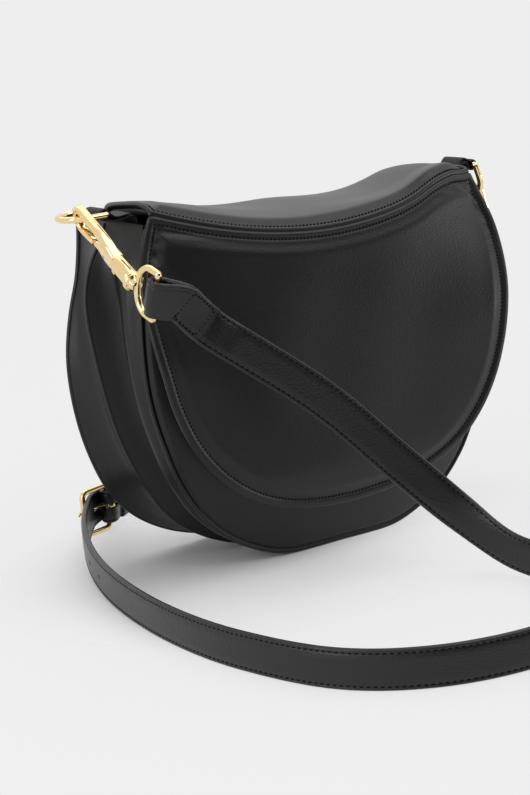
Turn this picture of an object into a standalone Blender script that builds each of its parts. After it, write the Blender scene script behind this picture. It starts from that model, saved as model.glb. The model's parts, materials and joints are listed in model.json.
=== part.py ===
# Crossbody bag: a half-moon body with two compartments under a saddle-shaped flap,
# closed by a magnetic snap and carried on an adjustable strap with two swivel hooks.
# Metres, +Z up, the front of the bag faces -Y, and the bag stands on the floor at z = 0.
import math

import bmesh
import bpy
from mathutils import Matrix, Vector

# Clearances
GAP = 0.0003
SEAT = 0.0009
OVERRUN = 0.001

# Body
HALF_WIDTH = 0.113
MID_EXTRA_WIDTH = 0.0005
FRONT_SET_IN = 0.012
MID_HALF_WIDTH = HALF_WIDTH + MID_EXTRA_WIDTH
FRONT_HALF_WIDTH = HALF_WIDTH - FRONT_SET_IN
HEIGHT = 0.179
SADDLE_DIP = 0.0145
BACK_Y = 0.0305
FRONT_Y = -0.03
PANEL_THICK = 0.0024
DIVIDER_THICK = 0.002
GUSSET_THICK = 0.0018
LINING_THICK = 0.0008
BACK_DOME = 0.003
FRONT_DOME = 0.0095
FLANGE = 0.0012
REAR_FOLD = 0.006
FRONT_FOLD = 0.0105
MOUTH_DROP = 0.0085
DIVIDER_DROP = 0.014

# Flap
FLAP_SET_IN = 0.008
FLAP_HALF_WIDTH = HALF_WIDTH - FLAP_SET_IN
FLAP_HEM_Z = 0.0235
FLAP_FRONT_Y = -0.0485
FLAP_TUCK = 0.004
CORNER_SETBACK = 0.0135
TOP_TAPER = 0.0085
SEAM_END_RISE = 0.0005
SEAM_DIP = 0.0185
TOP_CROWN = 0.0042
TOP_END_CROWN = 0.0066
FLAP_THICK = 0.002
FLAP_LINING_THICK = 0.001
LINING_ROOM = 0.0011

# Magnetic snap
SNAP_Z = 0.068
SNAP_RADIUS = 0.009
SNAP_CUP_DEPTH = 0.0026
SNAP_HOLE_RADIUS = 0.0046
SNAP_STUD_RADIUS = 0.0034
SNAP_PLATE = 0.0008
SNAP_WASHER_RADIUS = 0.0075
SNAP_WASHER = 0.0005
MAGNET_THICK = 0.0014

# Ring tabs and D-rings
TAB_WIDTH = 0.016
TAB_THICK = 0.001
TAB_Y = -0.01
TAB_LEG = 0.008
TAB_INSET = 0.0032
RING_WIRE = 0.0016
RING_BAR_SET_IN = 0.006
LEFT_BAR_RISE = 0.0045
RIGHT_BAR_RISE = -0.0012
RING_Y = -0.008
RING_HALF = 0.012
RING_LEG = 0.006
LEFT_RING_TILT = 1.0
RIGHT_RING_TILT = 72.0

# Strap
STRAP_WIDTH = 0.018
STRAP_THICK = 0.0026
FOLD_LENGTH = 0.036
STRAP_STEP = 0.0065
HOLE_RADIUS = 0.0012
HOLE_PITCH = 0.022
HOLE_COUNT = 6
TAIL_LENGTH = 0.052
KEEPER_WIDTH = 0.007
KEEPER_THICK = 0.0013
FIXED_KEEPER_RUN = 0.0165
SLIDING_KEEPER_RUN = 0.036

# Swivel hooks
CLAW_WIRE = 0.0021
CLAW_RADIUS = 0.0056
CLAW_CENTRE = 0.046
CLAW_OFFSET = 0.0005
BARREL_RADIUS = 0.0041
BARREL_LENGTH = 0.014
STEM_RADIUS = 0.0015
STEM_DEPTH = 0.009
COLLAR_RADIUS = 0.0048
COLLAR_THICK = 0.0022
CHEEK_TOP = 0.027
CHEEK_THICK = 0.0064
GATE_THICK = 0.0026
GATE_PIVOT_L = 0.021
GATE_TIP_L = 0.0348
NOSE_L = 0.0355
PIN_RADIUS = 0.0008
KNOB_RADIUS = 0.0014
LOOP_WIRE = 0.0016
LOOP_REACH = 0.018
LOOP_HEIGHT = 0.0135
LOOP_SIDE = 0.005

# Buckle
BUCKLE_WIRE = 0.0014
BUCKLE_LENGTH = 0.018
BUCKLE_SIDE_ROOM = 0.0012
BUCKLE_CORNER = 0.003
PRONG_WIRE = 0.0009

# Segments of the long surfaces
SIDE_STEPS = 16
TOP_STEPS = 6
RING_SHARES = (1.0, 0.92, 0.74, 0.42, 0.0)

# Outlines from the top corner down to the middle of the bottom, as shares of a half width and of HEIGHT
BACK_SHARES = ((0.875, 1.0), (0.885, 0.92), (0.913, 0.82), (0.96, 0.73), (0.995, 0.63), (1.003, 0.54),
               (0.988, 0.43), (0.949, 0.32), (0.879, 0.21), (0.765, 0.12), (0.596, 0.052), (0.398, 0.012),
               (0.24, 0.0), (0.0, 0.0))
MID_SHARES = ((0.87, 0.985), (0.905, 0.93), (0.965, 0.87), (1.0, 0.8), (1.005, 0.72), (0.99, 0.63),
              (0.968, 0.535), (0.939, 0.44), (0.893, 0.345), (0.826, 0.25), (0.732, 0.15), (0.582, 0.07),
              (0.402, 0.018), (0.24, 0.0), (0.0, 0.0))
FRONT_SHARES = ((0.93, 0.97), (0.952, 0.9), (0.978, 0.82), (0.994, 0.74), (1.004, 0.65), (1.003, 0.55),
                (0.983, 0.465), (0.944, 0.375), (0.898, 0.29), (0.844, 0.225), (0.77, 0.16), (0.644, 0.088),
                (0.465, 0.03), (0.27, 0.0), (0.0, 0.0))
# Bar of each D-ring, beside the flap: the left ring stands up on its tab, the right one hangs
RING_BAR_X = HALF_WIDTH - RING_BAR_SET_IN
RING_BAR_Z = {-1: MID_SHARES[0][1] * HEIGHT + LEFT_BAR_RISE, 1: MID_SHARES[0][1] * HEIGHT + RIGHT_BAR_RISE}
# Flap outline below the seam, as shares of its half width and of the height between hem and seam end
FLAP_SHARES = ((0.88, 1.0), (0.94, 0.91), (0.978, 0.83), (0.99, 0.74), (0.985, 0.64), (0.966, 0.54),
               (0.928, 0.42), (0.857, 0.3), (0.75, 0.195), (0.6, 0.105), (0.42, 0.043), (0.213, 0.01),
               (0.0, 0.0))
TOP_HALF_WIDTH = FLAP_SHARES[0][0] * FLAP_HALF_WIDTH
# Height of the top piece above the straight line from hinge to seam, as shares of its crown along the depth
CROWN_SHARES = ((0.0, 0.0), (0.03, 0.5), (0.12, 0.85), (0.35, 1.0), (0.65, 1.0), (0.85, 0.8), (0.95, 0.4), (1.0, 0.0))

# Strap routes, hand chosen, from the folded end on: x as a share of HALF_WIDTH, y as a share of HEIGHT, and
# the middle of the strap above its place on the floor as a share of HEIGHT
LONG_ROUTE_SHARES = ((-0.8, -0.475, 0.67), (-0.42, -0.535, 0.47), (-0.125, -0.585, 0.27), (0.1, -0.645, 0.11),
                     (0.2, -0.765, 0.02), (0.235, -0.945, 0), (0.15, -1.145, 0), (-0.07, -1.285, 0),
                     (-0.4, -1.33, 0), (-0.76, -1.27, 0), (-1.03, -1.115, 0), (-1.18, -0.845, 0),
                     (-1.225, -0.565, 0), (-1.19, -0.265, 0), (-1.1, -0.005, 0.004), (-0.97, 0.215, 0.02))
# The short route's heights are shares of the height of the right hook's loop, which the strap climbs to
SHORT_ROUTE_SHARES = ((0.03, 0.755, 0.0186), (0.32, 0.745, 0.0074), (0.62, 0.655, 0.0074), (0.87, 0.51, 0.0836),
                      (1.01, 0.35, 0.2415), (1.075, 0.205, 0.4736), (1.1, 0.105, 0.6872))
# The buckle's pivot bar in the same shares, and the way the strap runs there in degrees from +X
BUCKLE_SHARES = (-0.655, 0.455, 0.026)
BUCKLE_HEADING = 39.0
TIP_SHARES = (0.88, 0.5)
# The hooks: where each sits on its ring in degrees from the ring's middle, which way it hangs, how its flat
# side is turned about that way, and the directions of its strap loop and of that loop's bar
LEFT_SEAT, RIGHT_SEAT = -60.0, 0.0
LEFT_HANG, RIGHT_HANG = (0.034, -0.855, -0.517), (0.28, 0.05, -0.959)
LEFT_ROLL, RIGHT_ROLL = -3.0, 0.0
LEFT_REACH, RIGHT_REACH = (0.13, -0.9, -0.38), (0.08, 0.4, -0.91)
LEFT_BAR, RIGHT_BAR = (0.03, -0.45, 0.893), (0.0, 0.91, 0.4)

LEATHER = ("faux leather", (0.012, 0.012, 0.013, 1.0), 0.42, 0.0)
LINING = ("polyester lining", (0.03, 0.03, 0.032, 1.0), 0.75, 0.0)
GOLD = ("gold-plated zinc", (0.83, 0.62, 0.33, 1.0), 0.18, 1.0)
STEEL = ("nickel-plated steel", (0.62, 0.61, 0.58, 1.0), 0.3, 1.0)
MAGNET = ("ferrite magnet", (0.05, 0.05, 0.055, 1.0), 0.6, 0.2)

for old in list(bpy.data.objects):
    bpy.data.objects.remove(old)
parts = bpy.data.collections.new("crossbody bag")
cutters = bpy.data.collections.new("cutters")
bpy.context.scene.collection.children.link(parts)
bpy.context.scene.collection.children.link(cutters)


# General helpers

def setMaterial(obj, kind):
    name, colour, rough, metal = kind
    made = bpy.data.materials.new(f"{name} {obj.name}")
    made.use_nodes = True
    shader = made.node_tree.nodes["Principled BSDF"]
    shader.inputs["Base Color"].default_value = colour
    shader.inputs["Roughness"].default_value = rough
    shader.inputs["Metallic"].default_value = metal
    obj.data.materials.clear()
    obj.data.materials.append(made)


def newObject(name, mesh, kind, home=parts):
    obj = bpy.data.objects.new(name, mesh)
    home.objects.link(obj)
    if kind:
        setMaterial(obj, kind)
    return obj


def smooth(points, count):
    # Catmull-Rom curve through the points, resampled to count + 1 points at equal lengths
    ctrl = [Vector(p) for p in points]
    ctrl = [ctrl[0] * 2 - ctrl[1]] + ctrl + [ctrl[-1] * 2 - ctrl[-2]]
    fine = []
    for i in range(1, len(ctrl) - 2):
        a, b, c, d = ctrl[i - 1:i + 3]
        for k in range(12):
            t = k / 12
            fine.append((b * 2 + (c - a) * t + (a * 2 - b * 5 + c * 4 - d) * t * t
                         + (b * 3 - a - c * 3 + d) * t * t * t) / 2)
    fine.append(ctrl[-2])
    run = [0.0]
    for p, q in zip(fine, fine[1:]):
        run.append(run[-1] + (q - p).length)
    out, j = [], 0
    for k in range(count + 1):
        goal = run[-1] * k / count
        while j < len(fine) - 2 and run[j + 1] < goal:
            j += 1
        share = (goal - run[j]) / max(run[j + 1] - run[j], 1e-12)
        out.append(fine[j].lerp(fine[j + 1], min(share, 1.0)))
    return out


def pathLength(points):
    return sum((q - p).length for p, q in zip(points, points[1:]))


def outline(shares, halfWidth, inset=0.0, steps=SIDE_STEPS):
    # Points (x, z) of the left half of an outline, bottom middle first, moved inward by inset
    flat = smooth([(-x * halfWidth, z * HEIGHT) for x, z in shares], steps)
    out = []
    for i, p in enumerate(flat):
        along = flat[min(i + 1, steps)] - flat[max(i - 1, 0)]
        inward = Vector((-along.y, along.x)).normalized()
        if i == steps:
            inward = Vector((0.0, 1.0))
        q = p + inward * inset
        out.append(Vector((q.x, max(q.y, inset))))
    return out[::-1]


def ease(t):
    t = min(max(t, 0.0), 1.0)
    return t * t * (3 - 2 * t)


def sheet(name, rows, kind, thick, offset=-1.0, mirror=True, flip=False):
    # An open surface through rows of points, mirrored over x = 0 and given its thickness
    mesh = bpy.data.meshes.new(name)
    work = bmesh.new()
    grid = [[work.verts.new(p) for p in row] for row in rows]
    for low, high in zip(grid, grid[1:]):
        for i in range(len(low) - 1):
            corners = [low[i], low[i + 1], high[i + 1], high[i]]
            if flip:
                corners.reverse()
            work.faces.new(corners)
    bmesh.ops.remove_doubles(work, verts=work.verts[:], dist=GAP / 10)
    bmesh.ops.dissolve_degenerate(work, edges=work.edges[:], dist=GAP / 10)
    bmesh.ops.triangulate(work, faces=work.faces[:], quad_method="FIXED")
    work.to_mesh(mesh)
    work.free()
    mesh.shade_smooth()
    obj = newObject(name, mesh, kind)
    if mirror:
        half = obj.modifiers.new("mirror", "MIRROR")
        half.merge_threshold = GAP / 10
    shell = obj.modifiers.new("thickness", "SOLIDIFY")
    shell.thickness = thick
    shell.offset = offset
    return obj


def turned(name, profile, kind, place, steps=20, home=parts):
    # A closed turned shape: profile is (radius, height), from the axis at the bottom to the axis at the top, or a
    # loop clear of the axis
    work = bmesh.new()
    rings = []
    for radius, height in profile:
        if radius == 0.0:
            rings.append([work.verts.new((0.0, 0.0, height))])
        else:
            rings.append([work.verts.new((radius * math.cos(math.tau * k / steps),
                                          radius * math.sin(math.tau * k / steps), height)) for k in range(steps)])
    if profile[0][0]:
        rings.append(rings[0])
    for low, high in zip(rings, rings[1:]):
        for k in range(steps):
            n = (k + 1) % steps
            if len(low) == 1 and len(high) > 1:
                work.faces.new([low[0], high[n], high[k]])
            elif len(high) == 1 and len(low) > 1:
                work.faces.new([low[k], low[n], high[0]])
            elif len(low) > 1:
                work.faces.new([low[k], low[n], high[n], high[k]])
    mesh = bpy.data.meshes.new(name)
    work.to_mesh(mesh)
    work.free()
    mesh.shade_smooth()
    mesh.set_sharp_from_angle(angle=math.radians(40))
    obj = newObject(name, mesh, kind, home)
    obj.matrix_world = place
    return obj


def tube(name, points, radius, kind, closed=False, home=parts):
    # A wire along the points, as a closed mesh
    curve = bpy.data.curves.new(name, "CURVE")
    curve.dimensions = "3D"
    curve.bevel_depth = radius
    curve.bevel_resolution = 2
    curve.use_fill_caps = not closed
    line = curve.splines.new("POLY")
    line.points.add(len(points) - 1)
    line.use_cyclic_u = closed
    for slot, p in zip(line.points, points):
        slot.co = (*p, 1.0)
    rough = bpy.data.objects.new(name + " curve", curve)
    cutters.objects.link(rough)
    bpy.context.view_layer.update()
    shape = rough.evaluated_get(bpy.context.evaluated_depsgraph_get())
    mesh = bpy.data.meshes.new_from_object(shape)
    bpy.data.objects.remove(rough)
    work = bmesh.new()
    work.from_mesh(mesh)
    bmesh.ops.remove_doubles(work, verts=work.verts[:], dist=GAP / 10)
    work.to_mesh(mesh)
    work.free()
    mesh.name = name
    mesh.shade_smooth()
    return newObject(name, mesh, kind, home)


def block(name, low, high, kind, place=None, home=parts, round_=0.0):
    work = bmesh.new()
    bmesh.ops.create_cube(work, size=1.0)
    for v in work.verts:
        v.co = Vector([lo + (c + 0.5) * (hi - lo) for c, lo, hi in zip(v.co, low, high)])
    mesh = bpy.data.meshes.new(name)
    work.to_mesh(mesh)
    work.free()
    obj = newObject(name, mesh, kind, home)
    if round_:
        edge = obj.modifiers.new("edges", "BEVEL")
        edge.width = round_
        edge.segments = 2
    if place:
        obj.matrix_world = place
    return obj


def combine(obj, other, operation):
    # Boolean with a helper object, which goes to the cutters
    bpy.context.view_layer.update()
    step = obj.modifiers.new(operation.lower(), "BOOLEAN")
    step.operation = operation
    step.solver = "EXACT"
    step.object = other
    other.hide_render = True
    other.display_type = "WIRE"
    if other.name not in cutters.objects:
        parts.objects.unlink(other)
        cutters.objects.link(other)
    bpy.context.view_layer.update()
    shape = obj.evaluated_get(bpy.context.evaluated_depsgraph_get())
    mesh = bpy.data.meshes.new_from_object(shape)
    work = bmesh.new()
    work.from_mesh(mesh)
    bmesh.ops.remove_doubles(work, verts=work.verts[:], dist=GAP / 30)
    bmesh.ops.dissolve_degenerate(work, edges=work.edges[:], dist=GAP / 30)
    work.to_mesh(mesh)
    work.free()
    kept = list(obj.data.materials)
    obj.modifiers.clear()
    obj.data = mesh
    obj.data.materials.clear()
    for made in kept:
        obj.data.materials.append(made)
    bpy.data.objects.remove(other)
    return obj


def frameMatrix(origin, xAxis, yAxis, zAxis):
    turn = Matrix((xAxis, yAxis, zAxis)).transposed().to_4x4()
    return Matrix.Translation(origin) @ turn


# Body panels and gussets

def topEdge(x):
    # Height of the saddle-shaped top edge above the floor
    share = min(abs(x) / (BACK_SHARES[0][0] * HALF_WIDTH), 1.0)
    return HEIGHT - SADDLE_DIP * (1 - share ** 3)


def panelBoundary(shares, halfWidth, topDrop, inset=0.0, steps=SIDE_STEPS):
    side = outline(shares, halfWidth, inset, steps)
    corner = side[-1]
    cornerDrop = topEdge(corner.x) - corner.y
    top = []
    for k in range(1, TOP_STEPS + 1):
        x = corner.x * (1 - k / TOP_STEPS)
        drop = cornerDrop + (topDrop + inset - cornerDrop) * ease(k / TOP_STEPS * 2)
        top.append(Vector((x, topEdge(x) - drop)))
    return side + top


def panel(name, shares, halfWidth, topDrop, y, dome, thick, kind, front, inset=0.0, shift=0.0, steps=SIDE_STEPS):
    # A domed panel: rings of its outline drawn in to the middle, each ring further out
    edge = panelBoundary(shares, halfWidth, topDrop, inset, steps)
    middle = Vector((0.0, HEIGHT / 2))
    side = -1.0 if front else 1.0
    rows = []
    for share in RING_SHARES:
        bulge = dome * (1 - share ** 4)
        rows.append([(middle.x + (p.x - middle.x) * share, y + side * bulge + shift,
                      middle.y + (p.y - middle.y) * share) for p in edge])
    return sheet(name, rows, kind, thick, flip=front)


def frontPanelY(x, z):
    # Outer face of the front panel at a place near its middle line
    share = abs(z - HEIGHT / 2) / (HEIGHT / 2)
    return FRONT_Y - FRONT_DOME * (1 - share ** 4)


def loft(name, sections, kind):
    # A closed solid through closed sections, each an outer row and the inner row back; both are split alike
    work = bmesh.new()
    loops = [[work.verts.new(p) for p in section] for section in sections]
    count = len(loops[0])
    for low, high in zip(loops, loops[1:]):
        for k in range(count):
            n = (k + 1) % count
            if k < count // 2:
                work.faces.new([low[k], low[n], high[n]])
                work.faces.new([low[k], high[n], high[k]])
            else:
                work.faces.new([low[k], low[n], high[k]])
                work.faces.new([low[n], high[n], high[k]])
    ends = [work.faces.new(loops[0][::-1]), work.faces.new(loops[-1])]
    bmesh.ops.triangulate(work, faces=ends)
    mesh = bpy.data.meshes.new(name)
    work.to_mesh(mesh)
    work.free()
    mesh.shade_smooth()
    mesh.set_sharp_from_angle(angle=math.radians(40))
    return newObject(name, mesh, kind)


def gusset(name, sharesA, halfA, yA, sharesB, halfB, yB, folds, kind, thick, inset=0.0, steps=SIDE_STEPS):
    # A strip between two outlines: folds are (share of the way, inward depth), weaker at the mouth and on the floor
    lineA = outline(sharesA, halfA, FLANGE + inset, steps)
    lineB = outline(sharesB, halfB, FLANGE + inset, steps)
    sections = []
    for i in range(steps + 1):
        a, b = lineA[i], lineB[i]
        along = lineA[min(i + 1, steps)] - lineA[max(i - 1, 0)]
        inward = Vector((along.y, -along.x)).normalized() if i else Vector((0.0, 1.0))
        fade = ease((1 - i / steps) * 5) * (0.35 + 0.65 * ease(i / steps * 4))
        outer = []
        inner = []
        for share, depth in folds:
            p = a.lerp(b, share) + inward * depth * fade
            q = p + inward * thick
            y = yA + (yB - yA) * share
            outer.append((p.x, y, p.y))
            inner.append((q.x, y, q.y))
        sections.append(outer + inner[::-1])
    mirrored = [[(-x, y, z) for x, y, z in section] for section in sections[:0:-1]]
    return loft(name, mirrored + sections, kind)


REAR_FOLDS = ((0.0, 0.0), (0.2, REAR_FOLD * 0.6), (0.5, REAR_FOLD), (0.8, REAR_FOLD * 0.6), (1.0, 0.0))
FRONT_FOLDS = ((0.0, 0.0), (0.12, FRONT_FOLD * 0.75), (0.28, FRONT_FOLD), (0.5, FRONT_FOLD * 0.35),
               (0.72, 0.0), (0.9, FRONT_FOLD * 0.12), (1.0, FRONT_FOLD * 0.2))


def makeBody():
    panel("back_panel", BACK_SHARES, HALF_WIDTH, 0.0, BACK_Y, BACK_DOME, PANEL_THICK, LEATHER, False)
    panel("front_panel", FRONT_SHARES, FRONT_HALF_WIDTH, MOUTH_DROP, FRONT_Y, FRONT_DOME, PANEL_THICK, LEATHER,
          True)
    panel("center_divider", MID_SHARES, MID_HALF_WIDTH, DIVIDER_DROP, -DIVIDER_THICK / 2, 0.0,
          DIVIDER_THICK, LEATHER, True)
    inset = 2 * FLANGE + GUSSET_THICK + LINING_THICK + 5 * GAP
    panel("back_panel_lining", BACK_SHARES, HALF_WIDTH, 0.0, BACK_Y, BACK_DOME, LINING_THICK, LINING, False,
          inset + REAR_FOLDS[-1][1], -PANEL_THICK - 2 * GAP)
    panel("front_panel_lining", FRONT_SHARES, FRONT_HALF_WIDTH, MOUTH_DROP, FRONT_Y, FRONT_DOME, LINING_THICK,
          LINING, True, inset + FRONT_FOLDS[-1][1], PANEL_THICK + SNAP_WASHER + 6 * GAP)
    rearA = BACK_Y - PANEL_THICK - GAP
    rearB = DIVIDER_THICK / 2 + GAP
    frontA = -DIVIDER_THICK / 2 - GAP
    frontB = FRONT_Y + PANEL_THICK + GAP
    gusset("rear_gusset", BACK_SHARES, HALF_WIDTH, rearA, MID_SHARES, MID_HALF_WIDTH, rearB, REAR_FOLDS,
           LEATHER, GUSSET_THICK)
    gusset("front_gusset", MID_SHARES, MID_HALF_WIDTH, frontA, FRONT_SHARES, FRONT_HALF_WIDTH, frontB, FRONT_FOLDS,
           LEATHER, GUSSET_THICK)
    inner = GUSSET_THICK + 2 * GAP
    gusset("rear_lining", BACK_SHARES, HALF_WIDTH, rearA, MID_SHARES, MID_HALF_WIDTH, rearB, REAR_FOLDS,
           LINING, LINING_THICK, inner)
    gusset("front_lining", MID_SHARES, MID_HALF_WIDTH, frontA, FRONT_SHARES, FRONT_HALF_WIDTH, frontB,
           FRONT_FOLDS, LINING, LINING_THICK, inner)


makeBody()


# Flap

def seamZ(x):
    share = min(abs(x) / TOP_HALF_WIDTH, 1.0)
    return HEIGHT + SEAM_END_RISE - SEAM_DIP * (1 - share ** 1.9)


def seamY(x):
    share = min(abs(x) / TOP_HALF_WIDTH, 1.0)
    return FLAP_FRONT_Y + CORNER_SETBACK * share ** 2.5


def flapFaceY(x, z):
    # Outer face of the front piece: set back at the top corners, tucked in at the hem
    top = seamZ(x)
    up = ease((z - FLAP_HEM_Z) / (top - FLAP_HEM_Z) * 2 - 1)
    low = 1 - ease((z - FLAP_HEM_Z) / (HEIGHT - FLAP_HEM_Z) * 6)
    side = min(abs(x) / TOP_HALF_WIDTH, 1.0)
    return FLAP_FRONT_Y + CORNER_SETBACK * side ** 2.5 * up + FLAP_TUCK * low


def flapRows(inset, depth, steps=SIDE_STEPS):
    endZ = seamZ(FLAP_SHARES[0][0] * FLAP_HALF_WIDTH)
    shape = smooth([(-x * FLAP_HALF_WIDTH, FLAP_HEM_Z + z * (endZ - FLAP_HEM_Z)) for x, z in FLAP_SHARES], steps)[::-1]
    corner = shape[-1]
    edge = list(shape)
    for k in range(1, TOP_STEPS + 1):
        x = corner.x * (1 - k / TOP_STEPS)
        edge.append(Vector((x, seamZ(x))))
    middle = Vector((0.0, (FLAP_HEM_Z + endZ) / 2))
    rows = []
    for share in RING_SHARES:
        row = []
        for p in edge:
            q = p.lerp(middle, inset / (p - middle).length)
            x = middle.x + (q.x - middle.x) * share
            z = middle.y + (q.y - middle.y) * share
            row.append((x, flapFaceY(x, z) + depth, z))
        rows.append(row)
    return rows


def topRows(depth, trim, steps=TOP_STEPS + 2):
    # Rows from the back edge to the seam: the piece rises out of the back panel, rolls over and runs to the seam
    rows = []
    for share, crown in CROWN_SHARES:
        row = []
        halfWidth = TOP_HALF_WIDTH - TOP_TAPER * (1 - share) ** 1.5 - trim
        for k in range(steps + 1):
            x = -halfWidth * (1 - k / steps)
            side = min(abs(x) / TOP_HALF_WIDTH, 1.0)
            backZ = topEdge(x) + GAP
            rise = TOP_CROWN + (TOP_END_CROWN - TOP_CROWN) * side ** 2
            z = backZ + (seamZ(x) + SEAT - backZ) * share ** (1.6 + 1.4 * side ** 2) + rise * crown
            y = BACK_Y + (seamY(x) + GAP - BACK_Y) * share
            row.append(Vector((x, y, z)))
        rows.append(row)
    if depth:
        rows = offsetRows(rows, depth)
    return rows


def offsetRows(rows, depth):
    # Moves each row inward, square to the profile it lies on
    out = []
    for i, row in enumerate(rows):
        moved = []
        for k, p in enumerate(row):
            along = rows[min(i + 1, len(rows) - 1)][k] - rows[max(i - 1, 0)][k]
            inward = Vector((0.0, -along.z, along.y)).normalized()
            if i == 0:
                inward = Vector((0.0, -1.0, 0.0))
            if i == len(rows) - 1:
                inward = Vector((0.0, 1.0, 0.0))
            moved.append(p + inward * depth)
        out.append(moved)
    return out


def closedSheet(name, rows, inner, kind, flip=False):
    # A solid between two like grids, whole from left to right: the halves are mirrored over x = 0
    def whole(half):
        return [list(row) + [Vector((-p[0], p[1], p[2])) for p in row[-2::-1]] for row in half]
    outer, inner = whole(rows), whole(inner)
    sections = [list(o) + list(i)[::-1] for o, i in zip(outer, inner)]
    if flip:
        sections.reverse()
    return loft(name, sections, kind)


def pivot(name, place, objects):
    # An empty on a joint's axis that carries the pieces turning about it
    empty = bpy.data.objects.new(name, None)
    empty.location = place
    parts.objects.link(empty)
    bpy.context.view_layer.update()
    for obj in objects:
        obj.parent = empty
        obj.matrix_parent_inverse = empty.matrix_world.inverted()
    return empty


def makeFlap():
    front = sheet("flap_front", flapRows(0.0, 0.0), LEATHER, FLAP_THICK, flip=True)
    lining = sheet("flap_front_lining", flapRows(2 * FLANGE, FLAP_THICK + LINING_ROOM), LINING, FLAP_LINING_THICK,
                   flip=True)
    rows = topRows(0.0, 0.0)
    top = closedSheet("flap_top", rows, offsetRows(rows, FLAP_THICK), LEATHER, flip=True)
    trimmed = topRows(FLAP_THICK + GAP, FLANGE)
    topLining = closedSheet("flap_top_lining", trimmed[2:-1], offsetRows(trimmed, FLAP_LINING_THICK)[2:-1],
                            LINING, flip=True)
    return [front, lining, top, topLining]


def disc(name, radius, low, high, kind, y, steps=20):
    # A flat disc on the middle line facing -Y, from low to high in front of y
    place = Matrix.Translation((0.0, y, SNAP_Z)) @ Matrix.Rotation(math.radians(90), 4, "X")
    return turned(name, ((0.0, low), (radius, low), (radius, high), (0.0, high)), kind, place, steps)


def makeSnap():
    panelY = frontPanelY(0.0, SNAP_Z)
    rim = SNAP_RADIUS - SNAP_PLATE
    cup = ((0.0, GAP), (SNAP_RADIUS, GAP), (SNAP_RADIUS, GAP + SNAP_CUP_DEPTH), (rim, GAP + SNAP_CUP_DEPTH),
           (rim, GAP + SNAP_PLATE), (0.0, GAP + SNAP_PLATE))
    place = Matrix.Translation((0.0, panelY, SNAP_Z)) @ Matrix.Rotation(math.radians(90), 4, "X")
    turned("snap_socket", cup, GOLD, place)
    low = SNAP_PLATE + 2 * GAP
    turned("snap_magnet", ((SNAP_HOLE_RADIUS, low), (rim - GAP, low), (rim - GAP, low + MAGNET_THICK),
                           (SNAP_HOLE_RADIUS, low + MAGNET_THICK)), MAGNET, place)
    disc("snap_socket_washer", SNAP_WASHER_RADIUS, -PANEL_THICK - GAP - SNAP_WASHER, -PANEL_THICK - GAP, STEEL,
         panelY)
    liningY = flapFaceY(0.0, SNAP_Z) + FLAP_THICK + LINING_ROOM + FLAP_LINING_THICK
    face = -GAP - SNAP_PLATE
    tip = liningY - panelY + low
    stud = ((0.0, tip), (SNAP_STUD_RADIUS, tip), (SNAP_STUD_RADIUS, face), (SNAP_RADIUS, face), (SNAP_RADIUS, -GAP),
            (0.0, -GAP))
    male = turned("snap_stud", stud, GOLD,
                  Matrix.Translation((0.0, liningY, SNAP_Z)) @ Matrix.Rotation(math.radians(90), 4, "X"))
    washer = disc("snap_stud_washer", SNAP_WASHER_RADIUS, FLAP_LINING_THICK + GAP,
                  FLAP_LINING_THICK + GAP + SNAP_WASHER, STEEL, liningY)
    return [male, washer]


hingePlace = Vector((0.0, BACK_Y, HEIGHT - SADDLE_DIP))
pivot("flap hinge", hingePlace, makeFlap() + makeSnap())


# Ring tabs and D-rings

def ringPoint(side, tilt, angle):
    # Middle of the wire: a straight bar along Y, two legs and a half circle that starts and ends at -90 and 90
    a = math.radians(angle)
    t = math.radians(tilt)
    out = RING_LEG + RING_HALF * math.cos(a)
    return Vector((side * (RING_BAR_X + out * math.cos(t)), RING_Y + RING_HALF * math.sin(a),
                   RING_BAR_Z[side] - out * math.sin(t)))


def makeRing(name, side, tilt):
    bar = Vector((side * RING_BAR_X, RING_Y, RING_BAR_Z[side]))
    points = [bar - Vector((0.0, RING_HALF, 0.0))]
    points += [ringPoint(side, tilt, a) for a in range(-90, 91, 18)]
    points.append(bar + Vector((0.0, RING_HALF, 0.0)))
    ring = tube(name, points, RING_WIRE, GOLD, closed=True)
    pivot(name + " bar", bar, [ring])


def makeTab(name, side):
    # A strip that comes up inside the gusset, runs out over its top edge, round the bar and back onto itself
    wrap = RING_WIRE + GAP + TAB_THICK / 2
    layer = TAB_THICK + GAP * 1.5
    gussetTop = MID_SHARES[0][1] * HEIGHT
    inside = (MID_SHARES[0][0] * MID_HALF_WIDTH - FLANGE - GUSSET_THICK - LINING_THICK - 3 * GAP - TAB_THICK / 2
              - TAB_INSET)
    low = gussetTop - TAB_LEG
    over = gussetTop + GAP + TAB_THICK / 2
    line = [(inside, low), (inside, gussetTop - TAB_THICK), (inside + TAB_THICK * 1.5, over),
            (RING_BAR_X - wrap * 2, over + TAB_THICK / 4)]
    for a in range(-90 if RING_BAR_Z[side] > over else -150, 121, 30):
        line.append((RING_BAR_X + wrap * math.cos(math.radians(a)),
                     RING_BAR_Z[side] + wrap * math.sin(math.radians(a))))
    line += [(RING_BAR_X - wrap * 2.4, over + layer * 1.4), (TOP_HALF_WIDTH + TAB_THICK, over + layer)]
    rows = [[(side * x, TAB_Y - TAB_WIDTH / 2, z), (side * x, TAB_Y + TAB_WIDTH / 2, z)] for x, z in line]
    sheet(name, rows, LEATHER, TAB_THICK, offset=0.0, mirror=False)


for side, label, tilt in ((-1, "left", LEFT_RING_TILT), (1, "right", RIGHT_RING_TILT)):
    makeTab(f"ring_tab_{label}", side)
    makeRing(f"d_ring_{label}", side, tilt)


# Swivel hooks, modelled upright: X towards the spine, Y across the thickness, Z from the strap loop to the claw

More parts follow.
